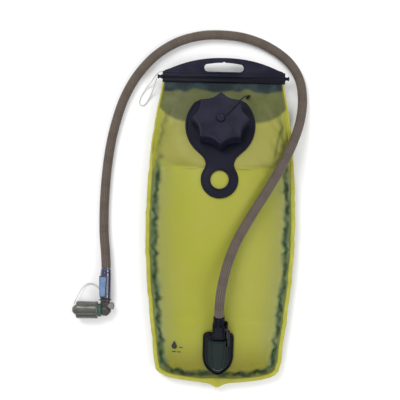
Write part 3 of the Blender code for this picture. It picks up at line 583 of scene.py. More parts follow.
def slab(outlines, low, high, bevel=0.0, segments=3):
    """A flat outline, with any holes, from low to high along +Z, its edges rounded inside it."""
    curve = bpy.data.curves.new("outline", "CURVE")
    curve.dimensions = "2D"
    curve.fill_mode = "BOTH"
    curve.extrude = (high - low) / 2 - bevel
    curve.bevel_depth = bevel
    curve.bevel_resolution = segments - 1
    curve.offset = -bevel
    for outline in outlines:
        spline = curve.splines.new("POLY")
        spline.points.add(len(outline) - 1)
        spline.use_cyclic_u = True
        for spot, (x, y) in zip(spline.points, outline):
            spot.co = (x, y, 0, 1)
    guide = linked("outline", curve)
    bpy.context.view_layer.update()
    mesh = bpy.data.meshes.new_from_object(guide.evaluated_get(bpy.context.evaluated_depsgraph_get()))
    bpy.data.objects.remove(guide)
    bm = bmesh.new()
    bm.from_mesh(mesh)
    bpy.data.meshes.remove(mesh)
    bmesh.ops.remove_doubles(bm, verts=bm.verts, dist=0.000004)
    bmesh.ops.recalc_face_normals(bm, faces=bm.faces)
    bmesh.ops.translate(bm, vec=(0, 0, (low + high) / 2), verts=bm.verts)
    return mesh_from(bm)


def sliced(mesh, step):
    """The mesh cut along a square grid, so that its flat faces can bend."""
    bm = bmesh.new()
    bm.from_mesh(mesh)
    for axis in (0, 1):
        normal = Vector((1, 0, 0)) if axis == 0 else Vector((0, 1, 0))
        low = min(vert.co[axis] for vert in bm.verts)
        high = max(vert.co[axis] for vert in bm.verts)
        for k in range(1, int((high - low) / step)):
            at = normal * (low + step * k)
            geometry = bm.verts[:] + bm.edges[:] + bm.faces[:]
            bmesh.ops.bisect_plane(bm, geom=geometry, dist=0.000001, plane_co=at, plane_no=normal)
    bm.to_mesh(mesh)
    bm.free()
    return mesh


def rounded_box(low, high, radius, segments=4):
    bm = bmesh.new()
    low, high = Vector(low), Vector(high)
    bmesh.ops.create_cube(bm, size=1.0)
    bmesh.ops.scale(bm, vec=high - low, verts=bm.verts)
    bmesh.ops.translate(bm, vec=(low + high) / 2, verts=bm.verts)
    bmesh.ops.bevel(
        bm, geom=bm.edges[:], offset=radius, segments=segments, profile=0.5, affect="EDGES", clamp_overlap=True
    )
    return mesh_from(bm)


def curved(spots, steps):
    """Points on a smooth curve through the spots, from the second up to the last but one."""
    found = []
    for a, b, c, d in zip(*([Vector(spot) for spot in spots[k:]] for k in range(4))):
        for k in range(steps):
            t = k / steps
            bend = (2 * a - 5 * b + 4 * c - d) * t * t + (3 * b - a - 3 * c + d) * t ** 3
            found.append(tuple(0.5 * (2 * b + (c - a) * t + bend)))
    return found


def smooth_route(route, count):
    """Evenly spaced points on a smooth curve through the route's own points."""
    points = [Vector(point) for point in route]
    reached = [points[0] * 2 - points[1], *points, points[-1] * 2 - points[-2]]
    fine = [Vector(point) for point in curved(reached, 24)] + [points[-1]]
    lengths = [0.0]
    for a, b in zip(fine, fine[1:]):
        lengths.append(lengths[-1] + (b - a).length)
    spaced = []
    j = 0
    for k in range(count):
        goal = lengths[-1] * k / (count - 1)
        while j < len(lengths) - 2 and lengths[j + 1] < goal:
            j += 1
        share = (goal - lengths[j]) / max(lengths[j + 1] - lengths[j], 1e-9)
        spaced.append(fine[j].lerp(fine[j + 1], min(share, 1.0)))
    return spaced


def tube(points, radius, sides=12, swell=None):
    """A tube along points, with a weave attribute: turns round it, and metres along it.
    swell(run, length) may change the radius."""
    bm = bmesh.new()
    rings = []
    runs = [0.0]
    for a, b in zip(points, points[1:]):
        runs.append(runs[-1] + (b - a).length)
    normal = Vector((0, 0, 1))
    for k, point in enumerate(points):
        ahead = points[min(k + 1, len(points) - 1)] - points[max(k - 1, 0)]
        ahead.normalize()
        normal = (normal - ahead * normal.dot(ahead)).normalized()
        side = ahead.cross(normal)
        reach = radius * (swell(runs[k], runs[-1]) if swell else 1.0)
        ring = []
        for s in range(sides):
            angle = math.tau * s / sides
            ring.append(bm.verts.new(point + (normal * math.cos(angle) + side * math.sin(angle)) * reach))
        rings.append(ring)
    layer = bm.loops.layers.float_vector.new("weave")
    for k, (one, two) in enumerate(zip(rings, rings[1:])):
        for s in range(sides):
            after = (s + 1) % sides
            face = bm.faces.new((one[s], one[after], two[after], two[s]))
            marks = [(s, runs[k]), (s + 1, runs[k]), (s + 1, runs[k + 1]), (s, runs[k + 1])]
            for loop, (turn, run) in zip(face.loops, marks):
                loop[layer] = (turn / sides, run, 0)
    for ring, point, forward in ((rings[0], points[0], True), (rings[-1], points[-1], False)):
        middle = bm.verts.new(point)
        for s in range(sides):
            after = (s + 1) % sides
            corners = (middle, ring[after], ring[s]) if forward else (middle, ring[s], ring[after])
            bm.faces.new(corners)
    bmesh.ops.recalc_face_normals(bm, faces=bm.faces)
    return mesh_from(bm)


def arc(centre, radius, start, end, count):
    """Points on an arc, from one angle in degrees to another."""
    found = []
    for k in range(count + 1):
        angle = math.radians(start + (end - start) * k / count)
        found.append((centre[0] + radius * math.cos(angle), centre[1] + radius * math.sin(angle)))
    return found


def helix(radius, pitch, turns, start_height, per_turn=40):
    found = []
    for k in range(round(turns * per_turn) + 1):
        turn = k / per_turn
        angle = turn * math.tau
        found.append(Vector((radius * math.cos(angle), radius * math.sin(angle), start_height + pitch * turn)))
    return found


def thread(radius, turns, start_height):
    """A screw thread's ridge, running out at both ends."""
    def run_out(run, length):
        return 0.25 + 0.75 * min(1.0, run / 0.008, (length - run) / 0.008)
    return tube(helix(radius, THREAD_PITCH, turns, start_height), THREAD_RADIUS, 8, run_out)


def turned_along(profile, steps, start, toward):
    return moved(turned(profile, steps), along_axis(start, toward))


def along_axis(start, toward):
    """A frame at start whose +Z points the given way."""
    turn = Vector((0, 0, 1)).rotation_difference(Vector(toward)).to_matrix().to_4x4()
    return Matrix.Translation(start) @ turn


# ---------------------------------------------------------------- the film's shape

def smooth_half_width(y):
    """Half the film's width, smoothed except at the foot."""
    reach = 0.004 if y > -0.185 else 0.0
    ys, halves = zip(*reversed(OUTLINE))
    return float(np.mean(np.interp([y + reach * k for k in (-1, -0.5, 0, 0.5, 1)], ys, halves)))


def crown_height(y):
    for (a, low, rise), (b, high, end_rise) in zip(CROWN, CROWN[1:]):
        if a <= y <= b:
            step = b - a
            t = (y - a) / step
            return (
                low * (2 * t**3 - 3 * t**2 + 1) + rise * step * (t**3 - 2 * t**2 + t)
                + high * (3 * t**2 - 2 * t**3) + end_rise * step * (t**3 - t**2)
            )
    return CROWN[0][1] if y < CROWN[0][0] else CROWN[-1][1]


def seam_height(y):
    """The middle of the side welds, for one y or for many at once."""
    share = np.clip((y + 0.200) / 0.365, 0.0, 1.0)
    return SEAM_END_Z + (SEAM_TOP_Z - SEAM_END_Z) * share


def flat_half_width(y):
    filler = max(0.0, 1 - ((y - PORT_Y) / 0.052) ** 2)
    outlet = max(0.0, 1 - ((y - OUTLET_Y) / 0.044) ** 2)
    return 0.048 * math.sqrt(filler) + 0.023 * math.sqrt(outlet)


def front_height(x, y):
    """Outer face of the front film."""
    seam = seam_height(y) + SEAM_FACE
    inner = max(smooth_half_width(y) - FLANGE, 0.004)
    if y < BOTTOM_WELD_Y or abs(x) >= inner:
        return seam
    flat = min(flat_half_width(y), inner * 0.7)
    across = max(0.0, abs(x) - flat) / (inner - flat)
    return seam + max(0.0, crown_height(y) - seam) * (1 - across**BELLY_POWER)


def back_height(x, y):
    """Outer face of the back film: flat on the ground, rising to the seam."""
    seam = seam_height(y) - SEAM_FACE
    inner = max(smooth_half_width(y) - FLANGE, 0.004)
    top = LIP_Y - 0.016
    middle = (top + BOTTOM_WELD_Y) / 2
    along = abs(y - middle) / (top - middle)
    across = abs(x) / inner
    away = (across**4 + along**9) ** 0.25
    rise = min(max((away - BACK_FLAT) / (1 - BACK_FLAT), 0.0), 1.0)
    return seam * rise**1.5


def film_frame(x, y, slope):
    """A frame on the front film, its +Y rising by the slope."""
    lean = Matrix.Rotation(math.atan(slope), 4, "X")
    return Matrix.Translation((x, y, front_height(0, y))) @ lean


def port_frame():
    return film_frame(PORT_X, PORT_Y, -PORT_SLOPE)


def outlet_frame():
    return film_frame(0, OUTLET_Y, OUTLET_SLOPE)


def eased(value):
    """0 below 0, 1 above 1 and smooth between."""
    share = np.clip(value, 0.0, 1.0)
    return share * share * (3 - 2 * share)


def wander(run, length, seed):
    """A smooth, irregular wave of about one along a run, with its longest swing over length."""
    random = np.random.RandomState(seed)
    found = np.zeros_like(run)
    for k in range(4):
        stretch = length / (1.0 + 0.83 * k)
        found += np.sin(math.tau * (run / stretch + random.rand())) / (1.0 + 0.7 * k)
    return found / 1.6


def zigzag(run, length, seed):
    """A bent line that swings between -1 and 1, its turns unevenly spaced."""
    phase = run / length + 0.42 * wander(run, length * 3.1, seed)
    return np.abs((phase % 1.0) * 4 - 2) - 1


def edge_line():
    """The outline from the left lip round the bottom to the right lip, closely spaced."""
    left = []
    for y in np.concatenate([np.arange(LIP_Y, FOOT_Y, -0.0012), np.arange(FOOT_Y, -0.2079, -0.0003)]):
        left.append((-smooth_half_width(y), y))
    right = [(-x, y) for x, y in reversed(left)]
    return np.array(left + right)


def to_edge(points, line):
    """Each point's distance to the outline, and how far round the outline it is."""
    steps = np.linalg.norm(np.diff(line, axis=0), axis=1)
    rounds = np.concatenate([[0.0], np.cumsum(steps)])
    distance, run = [], []
    for start in range(0, len(points), 2000):
        gaps = ((points[start:start + 2000, None, :] - line[None, :, :]) ** 2).sum(axis=2)
        distance.append(np.sqrt(gaps.min(axis=1)))
        run.append(rounds[gaps.argmin(axis=1)])
    return np.concatenate(distance), np.concatenate(run)


def groove(offset, width, depth, shoulder):
    """A crease's cross-section: a sharp groove between two soft shoulders."""
    dip = np.exp(-(offset / width) ** 2)
    rise = np.exp(-((np.abs(offset) - 2.3 * width) / (1.1 * width)) ** 2)
    return -depth * dip + shoulder * rise


def beside(points, start, end, fade):
    """Each point's offset from a slightly bent line, and 1 along it that eases to 0 at its ends."""
    start, end = np.array(start), np.array(end)
    length = np.linalg.norm(end - start)
    ahead = (end - start) / length
    run = (points - start) @ ahead
    aside = (points - start) @ np.array((-ahead[1], ahead[0])) + 0.0016 * np.sin(run * 90)
    return aside, eased(run / (fade * length)) * eased((length - run) / (fade * length))


def soft_creases(points):
    """Long shallow creases of the front film: (start, end, half width, depth)."""
    lines = [
        ((0.0500, 0.1560), (0.0760, 0.1080), 0.0030, 0.0009),
        ((0.0580, 0.1200), (0.0830, 0.0700), 0.0034, 0.0010),
        ((0.0430, 0.0960), (0.0700, 0.0520), 0.0036, 0.0007),
        ((-0.0480, 0.1540), (-0.0700, 0.1120), 0.0034, 0.0007),
        ((-0.0560, 0.1000), (-0.0780, 0.0560), 0.0040, 0.0008),
        ((0.0300, -0.1480), (0.0560, -0.1800), 0.0034, 0.0007),
        ((-0.0300, -0.1500), (-0.0520, -0.1840), 0.0034, 0.0007),
        ((0.0720, -0.0600), (0.0800, -0.1200), 0.0030, 0.0006),
    ]
    found = np.zeros(len(points))
    for start, end, width, depth in lines:
        aside, taper = beside(points, start, end, 0.35)
        found += groove(aside, width, depth, depth * 0.5) * taper
    return found


def film_grid(columns, row_step, height, facing):
    """The film's sheet with its puckers, and the attributes that its material reads."""
    foot_rows = np.arange(FOOT_Y, BOTTOM_Y, -row_step * 0.45)
    rows = np.concatenate([np.arange(LIP_Y, FOOT_Y, -row_step), foot_rows])
    shares = [1 - (1 - k / columns) ** 1.6 for k in range(columns + 1)]
    shares = [-share for share in reversed(shares[1:])] + shares
    bm = bmesh.new()
    grid = []
    for y in rows:
        half = smooth_half_width(y)
        inner = max(half - FLANGE, half * 0.7)
        strip = [inner + (half - inner) * k for k in (0.12, 0.4, 0.75, 1.0)]
        xs = [-x for x in reversed(strip)] + [share * inner for share in shares] + strip
        grid.append([bm.verts.new((x, y, height(x, y))) for x in xs])
    for upper, lower in zip(grid, grid[1:]):
        for k in range(len(upper) - 1):
            corners = (upper[k], lower[k], lower[k + 1], upper[k + 1])
            bm.faces.new(corners if facing > 0 else corners[::-1])
    bm.verts.index_update()
    pucker(bm, facing)
    return bm


def pucker(bm, facing):
    """Moves the sheet's points into folds along its welds and stores the masks for its colours, painted shade
    and a painted sheen among them.
    """
    places = np.array([vert.co for vert in bm.verts])
    flat = places[:, :2]
    distance, run = to_edge(flat, edge_line())
    x, y = flat[:, 0], flat[:, 1]
    inside = np.minimum(distance - FLANGE, y - BOTTOM_WELD_Y)
    below_lip = eased((0.158 - y) / 0.030)
    low = eased((0.092 - y) / 0.040)
    reach = 0.0128 + 0.0030 * wander(run, 0.090, 5)
    centre = 0.0066 + 0.0024 * zigzag(run, 0.034, 11) + 0.0010 * wander(run, 0.021, 3)
    second = 0.0050 + 0.0032 * zigzag(run + 0.019, 0.049, 23)
    swell = 0.6 + 0.4 * wander(run, 0.070, 31)
    weight = eased(inside / 0.0025) * (0.35 * below_lip + 0.65 * low)
    main = groove(inside - centre, 0.0024, 0.0024, 0.0012) * weight
    other = groove(inside - second, 0.0014, 0.0012, 0.0007) * weight * swell
    fan = np.exp(-np.clip(inside, 0, None) / reach) * eased(inside / 0.003)
    waves = 0.0010 * wander(run, 0.024, 41) * fan * below_lip
    creases = soft_creases(flat) if facing > 0 else 0.0
    rim = eased(1 - inside / 0.004) * below_lip
    ripple = 0.0011 * wander(run, 0.060, 47) * rim
    places[:, 2] += facing * (main + other + waves + creases) + ripple
    places[:, 0] += 0.0004 * wander(run, 0.045, 53) * rim
    lowest = seam_height(y) + SEAM_FACE + ripple if facing > 0 else 0.0
    places[:, 2] = np.maximum(places[:, 2], lowest)
    foot = eased((FOOT_Y - y) / 0.006)
    thick = (0.0034 + 0.0011 * wander(run, 0.031, 71)) * (1 + 0.35 * foot)
    rope = np.exp(-(np.abs(inside - centre) / thick) ** 2.4)
    side = 0.0030 * (y > 0.05) * eased((y - 0.05) / 0.06)
    crown_edge = 0.1250 + 0.0160 * (np.abs(x) / 0.0775) ** 5
    fold_edge = 0.0696 + 0.0110 * (np.abs(x) / 0.0820) ** 4
    masks = {
        # Painted shade in the folds beside the welds, where the film also lies in more layers.
        "fold": rope * weight * (0.70 + 0.30 * wander(run, 0.026, 81))
        + 0.45 * np.exp(-((inside - second) / 0.0018) ** 2) * weight * np.clip(swell, 0, 1),
        # Painted shade in a band beside the welds.
        "band": eased((reach - 0.0005 - inside) / 0.006) * eased(inside / 0.0010) * low * 0.85,
        # Painted sheen near the welds.
        "haze": np.exp(-(np.clip(inside - 0.010, 0, None) / 0.015) ** 1.5)
        * eased(inside / 0.004) * (0.3 + 0.7 * low),
        "weld": eased((0.0006 - side - inside) / 0.0008),
        "weld_line": np.exp(-((inside - 0.0004 + side) / 0.0007) ** 2) * 0.8,
        # The strip under the closure: two layers of film, and the slider's painted shadow.
        "lip": eased((y - 0.1676 - 0.0026 * wander(x, 0.060, 61)) / 0.0035),
        "upper": eased((y - fold_edge) / 0.0016) * eased((inside - 0.003) / 0.004),
        "crown": eased((y - crown_edge) / 0.0045) * 0.92,
        # Painted shade along a crease at the right, and a darker line across the film at y = 0.07.
        "crease": soft_line(flat, (0.0795, 0.1300), (0.0625, 0.0760), 0.0016)
        + 0.7 * soft_line(flat, (-0.0600, 0.0700), (0.0600, 0.0700), 0.0008),
    }
    for name, values in masks.items():
        if facing < 0 and name in ("crown", "crease", "upper"):
            values = values * 0.0
        layer = bm.verts.layers.float.new(name)
        for vert, value in zip(bm.verts, np.clip(values, 0.0, 1.0)):
            vert[layer] = float(value)
    for vert, spot in zip(bm.verts, places):
        vert.co = spot


def soft_line(points, start, end, width):
    """1 on a slightly bent line between two points of the film, falling to 0 beside it and at its ends."""
    aside, taper = beside(points, start, end, 0.25)
    return np.exp(-(aside / width) ** 2) * taper


def round_hole(bm, hole_frame, radius):
    """Cuts a round hole, in the plane of a frame, out of the sheet."""
    inverse = hole_frame.inverted()
    inside = {}
    for vert in bm.verts:
        local = inverse @ vert.co
        if math.hypot(local.x, local.y) < radius and abs(local.z) < 0.02:
            inside[vert] = local
    gone = [face for face in bm.faces if all(vert in inside for vert in face.verts)]
    bmesh.ops.delete(bm, geom=gone, context="FACES")
    for vert, local in inside.items():
        if vert.is_valid and vert.link_faces:
            scale = radius / math.hypot(local.x, local.y)
            vert.co = hole_frame @ Vector((local.x * scale, local.y * scale, local.z))
    loose = [vert for vert in bm.verts if not vert.link_faces]
    bmesh.ops.delete(bm, geom=loose, context="VERTS")


def make_film():
    for side, columns, row_step, height, facing in (
        ("front", 46, 0.0016, front_height, 1), ("back", 30, 0.0026, back_height, -1),
    ):
        bm = film_grid(columns, row_step, height, facing)
        if facing > 0:
            round_hole(bm, port_frame(), PORT_HOLE)
            round_hole(bm, outlet_frame(), OUTLET_HOLE)
        panel = piece(side + "_panel", mesh_from(bm), "root", "film", ["film_" + side], sharp=180)
        step = panel.modifiers.new("thickness", "SOLIDIFY")
        step.thickness = FILM_THICK
        step.offset = -1
        step.use_even_offset = False


def lie_on_film(mesh, lift):
    """Bends a flat mesh, modelled on z = 0, over the front film."""
    for vert in mesh.vertices:
        x, y, z = vert.co
        vert.co.z = front_height(x, y) + lift + z
    return mesh


def make_volume_mark():
    """A printed drop beside a short bar, over two level bars."""
    x, y = -0.0556, -0.1576
    drop = []
    for k in range(36):
        angle = math.tau * k / 36
        point = max(0.0, math.sin(angle)) ** 4
        across = 0.0036 * math.cos(angle) * (1 - 0.55 * point)
        drop.append((x + across, y + 0.0036 * math.sin(angle) + 0.0038 * point))
    marks = [slab([drop], 0, 0.00008)]
    for left, low, width in ((0.0060, -0.0016, 0.0048), (-0.0026, -0.0078, 0.0050), (0.0038, -0.0078, 0.0048)):
        right, high = left + width, low + 0.0012
        bar = [(x + left, y + low), (x + right, y + low), (x + right, y + high), (x + left, y + high)]
        marks.append(slab([bar], 0, 0.00008))
    mesh = lie_on_film(sliced(joined(*marks), 0.0012), 0.00030)
    piece("volume_mark", mesh, "root", "film", material="print_ink")


# ---------------------------------------------------------------- slide closure

def handle_outline():
    base = -SLIDER_DEPTH / 2 + 0.002
    end_y = 0.0090
    top = HANDLE_TOP_Y - ROD_Y
    points = [(SLIDER_HALF - 0.0015, base)]
    points += arc((SLIDER_HALF - 0.005, end_y - 0.0035), 0.0035, 0, 80, 8)
    for k in range(1, 48):
        share = k / 48
        x = (SLIDER_HALF - 0.006) * (1 - 2 * share)
        rise = 1 - abs(2 * share - 1) ** 2.2
        points.append((x, end_y + (top - end_y) * rise))
    points += arc((-SLIDER_HALF + 0.005, end_y - 0.0035), 0.0035, 100, 180, 8)
    points.append((-SLIDER_HALF + 0.0015, base))
    return points


def hand_hole_outline(grow=0.0):
    low, high, half = 0.0073 - grow, 0.0172 + grow, 0.0253 + grow
    radius = 0.0052 + grow
    points = arc((half - radius, 0.0124), radius, -90, 64, 12)
    points += [(0.012, high + 0.0014), (0.0060, high + 0.0019), (0.0022, high + 0.0020), (0.0, high + 0.0034)]
    points += [(-0.0022, high + 0.0020), (-0.0060, high + 0.0019), (-0.012, high + 0.0014)]
    points += arc((-half + radius, 0.0124), radius, 116, 270, 12)
    return [(x, max(y, low)) for x, y in points]


def channel_section():
    """The closure bar's section across its length, (y, z), with the slot and bore for film and rod."""
    depth, tall = SLIDER_DEPTH / 2, SLIDER_TALL / 2
    slot, bore = 0.0013, ROD_RADIUS + 0.0004
    points = [(-depth, -slot)]
    points += arc((-depth + 0.0016, -tall + 0.0016), 0.0016, 180, 270, 5)
    points += arc((depth - 0.0016, -tall + 0.0016), 0.0016, 270, 360, 5)
    points += arc((depth - 0.0013, tall - 0.0013), 0.0013, 0, 150, 7)
    points += [(0.0040, tall - 0.0011), (0.0030, tall - 0.0011)]
    points += arc((0.0012, tall - 0.0014), 0.0014, 40, 150, 6)
    points += [(-0.0018, tall - 0.0011), (-0.0030, tall - 0.0013)]
    points += arc((-depth + 0.0020, tall - 0.0026), 0.0020, 95, 180, 6)
    points.append((-depth, slot))
    mouth = math.degrees(math.asin(slot / bore))
    points += arc((0, 0), bore, 180 - mouth, -180 + mouth, 24)
    return points


def make_slider():
    place = Matrix.Translation((SLIDER_X, ROD_Y, SEAM_TOP_Z))
    lengthwise = Matrix(((0, 0, 1, 0), (1, 0, 0, 0), (0, 1, 0, 0), (0, 0, 0, 1)))
    bar = moved(slab([channel_section()], -SLIDER_HALF, SLIDER_HALF, 0.0004, 2), lengthwise)
    half = HANDLE_THICK / 2
    handle = [(x, max(y, HANDLE_FOOT)) for x, y in handle_outline()]
    grip = slab([handle, hand_hole_outline()], -half, half, 0.0011, 4)
    edges = [hand_hole_outline(0.0022), hand_hole_outline()]
    rim = slab(edges, half - 0.0012, half + 0.0005, 0.0005, 3)
    mesh = joined(bar, grip, rim)
    piece("closure_channel", mesh, "slider", "navy_plastic", ["slide_closure"], "closure_navy_painted_shade", place)


def make_rod():
    neck = 0.0020
    profile = [
        (0, ROD_HALF), (ROD_RADIUS * 0.55, ROD_HALF), (ROD_RADIUS * 0.85, ROD_HALF - 0.0003),
        (ROD_RADIUS, ROD_HALF - 0.0008), (ROD_RADIUS, 0.0832), (ROD_RADIUS * 0.9, 0.0829), (neck, 0.0826),
        (neck, 0.0804), (ROD_RADIUS * 0.9, 0.0801), (ROD_RADIUS, 0.0798),
    ]
    profile += [(radius, -height) for radius, height in reversed(profile)]
    place = along_axis((0, ROD_Y, SEAM_TOP_Z), (1, 0, 0))
    piece("clamp_rod", turned(profile, 32), "root", "navy_plastic", ["closure_rod"], place=place)


# ---------------------------------------------------------------- filler, plate and cap

def make_neck():
    low = -FILM_THICK - FIT
    profile = [
        (NECK_INNER, NECK_TOP - 0.0004), (NECK_INNER + 0.0004, NECK_TOP), (NECK_OUTER - 0.0006, NECK_TOP),
        (NECK_OUTER, NECK_TOP - 0.0006), (NECK_OUTER, low), (0.0398, low), (0.0400, low - 0.0003),
        (0.0400, low - 0.0012), (0.0396, low - 0.0014), (NECK_INNER, low - 0.0014),
    ]
    ring = turned(profile, 96)
    ridge = thread(NECK_OUTER + 0.0002, 1.5, 0.0078)
    mesh = joined(ring, ridge)
    piece("filler_spout", mesh, "root", "dark_soft_plastic", ["filler_neck"], place=port_frame())


def keyhole_outline(inset=0.0):
    """Disc, cut straight behind the cap, and finger ring joined by a waisted neck."""
    gap = PORT_Y - RING_Y
    chord = PLATE_CHORD - inset
    side = math.degrees(math.asin(chord / (PLATE_RADIUS - inset))) - 6
    points = arc((0, 0), PLATE_RADIUS - inset, -50, side, 48)
    points += [(0.0262 - inset, chord), (-0.0262 + inset, chord)]
    points += arc((0, 0), PLATE_RADIUS - inset, 180 - side, 230, 48)
    waist = [
        (-0.0300, -0.0330), (-0.0222, -0.0398), (-0.0184, -0.0465), (-0.0180, -0.0520), (-0.0198, -0.0560),
    ]
    left = [(x + inset, y) for x, y in curved(waist, 6)]
    points += left
    points += arc((0, -gap), RING_RADIUS - inset, 146, 394, 72)
    points += [(-x, y) for x, y in reversed(left)]
    return points


def circle(centre, radius, count):
    return arc(centre, radius, 0, 360 - 360 / count, count - 1)


def make_plate():
    gap = PORT_Y - RING_Y
    neck_hole = circle((0, 0), NECK_OUTER + 0.0012, 96)
    finger = circle((0, -gap), RING_HOLE, 72)
    base = slab([keyhole_outline(), neck_hole, finger], 0.0, 0.0018, 0.0007, 4)
    rim = slab([keyhole_outline(0.0004), keyhole_outline(0.0030)], 0.0008, 0.0024, 0.0007, 3)
    lip_edges = [circle((0, -gap), RING_HOLE + more, 72) for more in (0.0030, 0.0002)]
    lip = slab(lip_edges, 0.0008, 0.0024, 0.0007, 3)
    mesh = sliced(joined(base, rim, lip), 0.0030)
    mesh.transform(Matrix.Translation((PORT_X, PORT_Y, 0)))
    lie_on_film(mesh, 0.00042)
    piece("keyhole_plate", mesh, "root", "dark_soft_plastic", ["grip_plate"])


def star_radius(angle):
    wave = abs(math.sin(CAP_POINTS * (angle - math.radians(90)) / 2))
    return CAP_TIP_RADIUS - (CAP_TIP_RADIUS - CAP_VALLEY_RADIUS) * wave**0.8


def make_cap():
    steps = CAP_POINTS * 20
    inner = NECK_OUTER + 0.0018
    ceiling = CAP_TOP - 0.0025
    levels = [
        (0.30, CAP_TOP - 0.0004), (0.62, CAP_TOP - 0.0003), (0.88, CAP_TOP - 0.0002), (0.925, CAP_TOP),
        (0.960, CAP_TOP - 0.0001), (0.978, CAP_TOP - 0.0006), (0.985, CAP_TOP - 0.0015),
        (0.988, CAP_TOP - 0.0040), (0.990, (CAP_TOP + CAP_BOTTOM) / 2), (1.0, CAP_BOTTOM + 0.0020),
        (1.0, CAP_BOTTOM + 0.0006),
        (0.985, CAP_BOTTOM),
    ]
    bm = bmesh.new()
    rings = [ring_of(bm, [(0.0033, CAP_TOP - 0.0004)] * steps)]
    for share, height in levels:
        spots = []
        for k in range(steps):
            star = star_radius(math.tau * k / steps) * share
            round_share = eased((0.86 - share) / 0.56) if share < 0.86 else 0.0
            spots.append((star * (1 - round_share) + CAP_VALLEY_RADIUS * share * round_share, height))
        rings.append(ring_of(bm, spots))
    for radius, height in ((inner, CAP_BOTTOM), (inner, ceiling), (0.0033, ceiling)):
        rings.append(ring_of(bm, [(radius, height)] * steps))
    shell = skinned(bm, rings, True)
    ridge = thread(inner - 0.0002, 1.25, 0.0078 + THREAD_PITCH / 2)
    mesh = joined(shell, ridge)
    piece("star_cap", mesh, "cap", "navy_plastic", ["screw_cap"], place=port_frame(), sharp=50)


def make_leash():
    place = port_frame()
    stud = [
        (0, 0.0282), (0.0011, 0.0282), (0.0014, 0.0284), (0.0034, 0.0285), (0.0046, 0.0281), (0.0055, 0.0271),
        (0.0058, 0.0260), (0.0058, CAP_TOP + FIT), (0.0028, CAP_TOP + FIT), (0.0028, 0.0222), (0.0046, 0.0221),
        (0.0046, 0.0207), (0, 0.0206),
    ]
    knob = turned(stud, 40)
    piece("swivel_stud", knob, "leash_swivel", "navy_plastic", ["leash_stud"], place=place)
    route = [place @ point for point in smooth_route(LEASH_ROUTE, 60)]
    cord = tube(route, LEASH_RADIUS, 12)
    leash = piece("leash_cord", cord, None, "black_cord", ["cap_leash"])
    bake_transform(leash)
    turn = Matrix.Rotation(math.radians(-42), 4, "Z")
    tag = moved(rounded_box((-0.0013, -0.0034, 0.0008), (0.0013, 0.0034, 0.0032), 0.0008), turn)
    lip = [(0.0010, 0.0044), (0.0015, 0.0044), (0.0018, 0.0030), (0.0010, 0.0030)]
    collar = turned(rounded_profile(lip, 0.0003), 24)
    place = place @ Matrix.Translation((0.0351, 0.0398, 0))
    anchor = joined(tag, collar)
    piece("leash_anchor", anchor, "root", "black_rubber", ["leash_tag"], place=place)


# ---------------------------------------------------------------- outlet and its plug

def shield_outline(half, length):
    """Straight top with round corners, tapering to a round tip."""
    top = length / 2
    corner = 0.0068
    points = arc((half - corner, top - corner), corner, 0, 90, 10)
    points += arc((-half + corner, top - corner), corner, 90, 180, 10)
    shares = [(1.0, 0.0), (1.0, 0.06), (0.93, 0.20), (0.76, 0.33), (0.48, 0.44)]
    left = [(-half * across, -length * along) for across, along in shares]
    flank = curved([left[0], *left, left[-1]], 5)
    points += flank
    points += arc((0, -length * 0.513 + half * 0.52), half * 0.52, 212, 328, 14)
    points += [(-x, y) for x, y in reversed(flank)]
    return points


def make_outlet():
    place = outlet_frame()
    base = slab([shield_outline(OUTLET_HALF, OUTLET_LENGTH)], 0.0004, 0.0026, 0.0009, 4)
    edge = slab([inner_shield(0.0000), inner_shield(0.0022)], 0.0014, 0.0044, 0.0010, 4)
    rim = joined(base, edge)
    piece("outlet_rim", rim, "root", "green_black_plastic", material="outlet_edge", place=place)
    bead = slab([inner_shield(0.0038), inner_shield(0.0058)], 0.0018, 0.0046, 0.0009, 4)
    panel = slab([panel_outline(0.0056)], 0.0020, 0.0066, 0.0016, 6)
    mesh = joined(bead, panel, *outlet_boss())
    piece("outlet_shield", mesh, "root", "green_black_plastic", ["outlet_port"], place=place)
    # A moulded lip at the housing's foot, coloured light grey as a painted highlight.
    path = [Vector((x, y, 0.0160)) for x, y in arc((0.0, -0.0100), 0.0061, -32, -148, 16)]
    lip = tube(path, 0.0008, 10)
    piece("outlet_painted_highlight", lip, "root", "green_black_plastic", material="outlet_painted_highlight", place=place)


def inner_shield(inset):
    return shield_outline(OUTLET_HALF - inset, OUTLET_LENGTH - 2 * inset)


def panel_outline(inset):
    """The raised panel, notched where the plug and its release button sit."""
    half, length = OUTLET_HALF - inset, OUTLET_LENGTH - 2 * inset
    kept = [(x, y) for x, y in shield_outline(half, length)[11:] if x < -0.0104 or y < 0.0134]
    side, low, high = 0.0092, 0.0138, 0.0220
    return kept + [(half, low), (side, low), (side, high), (-side, high), (-side, length / 2 - 0.0010)]


def outlet_boss():
    """The tapering raised housing that the plug's nozzle goes into, with the bore's tube inside it."""
    top = PLUG_FOOT - FIT
    flank = [(0.0088, top), (0.0089, 0.0120), (0.0087, 0.0060), (0.0079, -0.0030)]
    foot = arc((0.0, -0.0100), 0.0068, -5, -175, 24)
    outline = flank + foot + [(-x, y) for x, y in reversed(flank)]
    outline.reverse()
    roof = slab([outline], 0.0139, 0.0168, 0.0026, 7)
    heel_outline = [(0.0083, 0.0006)] + flank[3:] + foot + [(-0.0079, -0.0030), (-0.0083, 0.0006)]
    heel_outline.reverse()
    parts = [roof, slab([heel_outline], 0.0030, 0.0142)]
    for side in (1, -1):
        rail = [(0.0056, 0.0006), (0.0083, 0.0006), (0.0088, 0.0120), (0.0088, top), (0.0056, top)]
        rail = [(side * x, y) for x, y in (rail if side > 0 else reversed(rail))]
        parts.append(slab([rail], 0.0030, 0.0142))
    profile = [
        (0.0, 0.0006), (0.0062, 0.0006), (0.0062, top - 0.0002), (0.0058, top), (BORE_RADIUS + 0.0004, top),
        (BORE_RADIUS, top - 0.0004), (BORE_RADIUS, 0.0015), (0.0, 0.0015),
    ]
    return parts + [turned_along(profile, 48, (0, 0, PLUG_LINE), (0, 1, 0))]


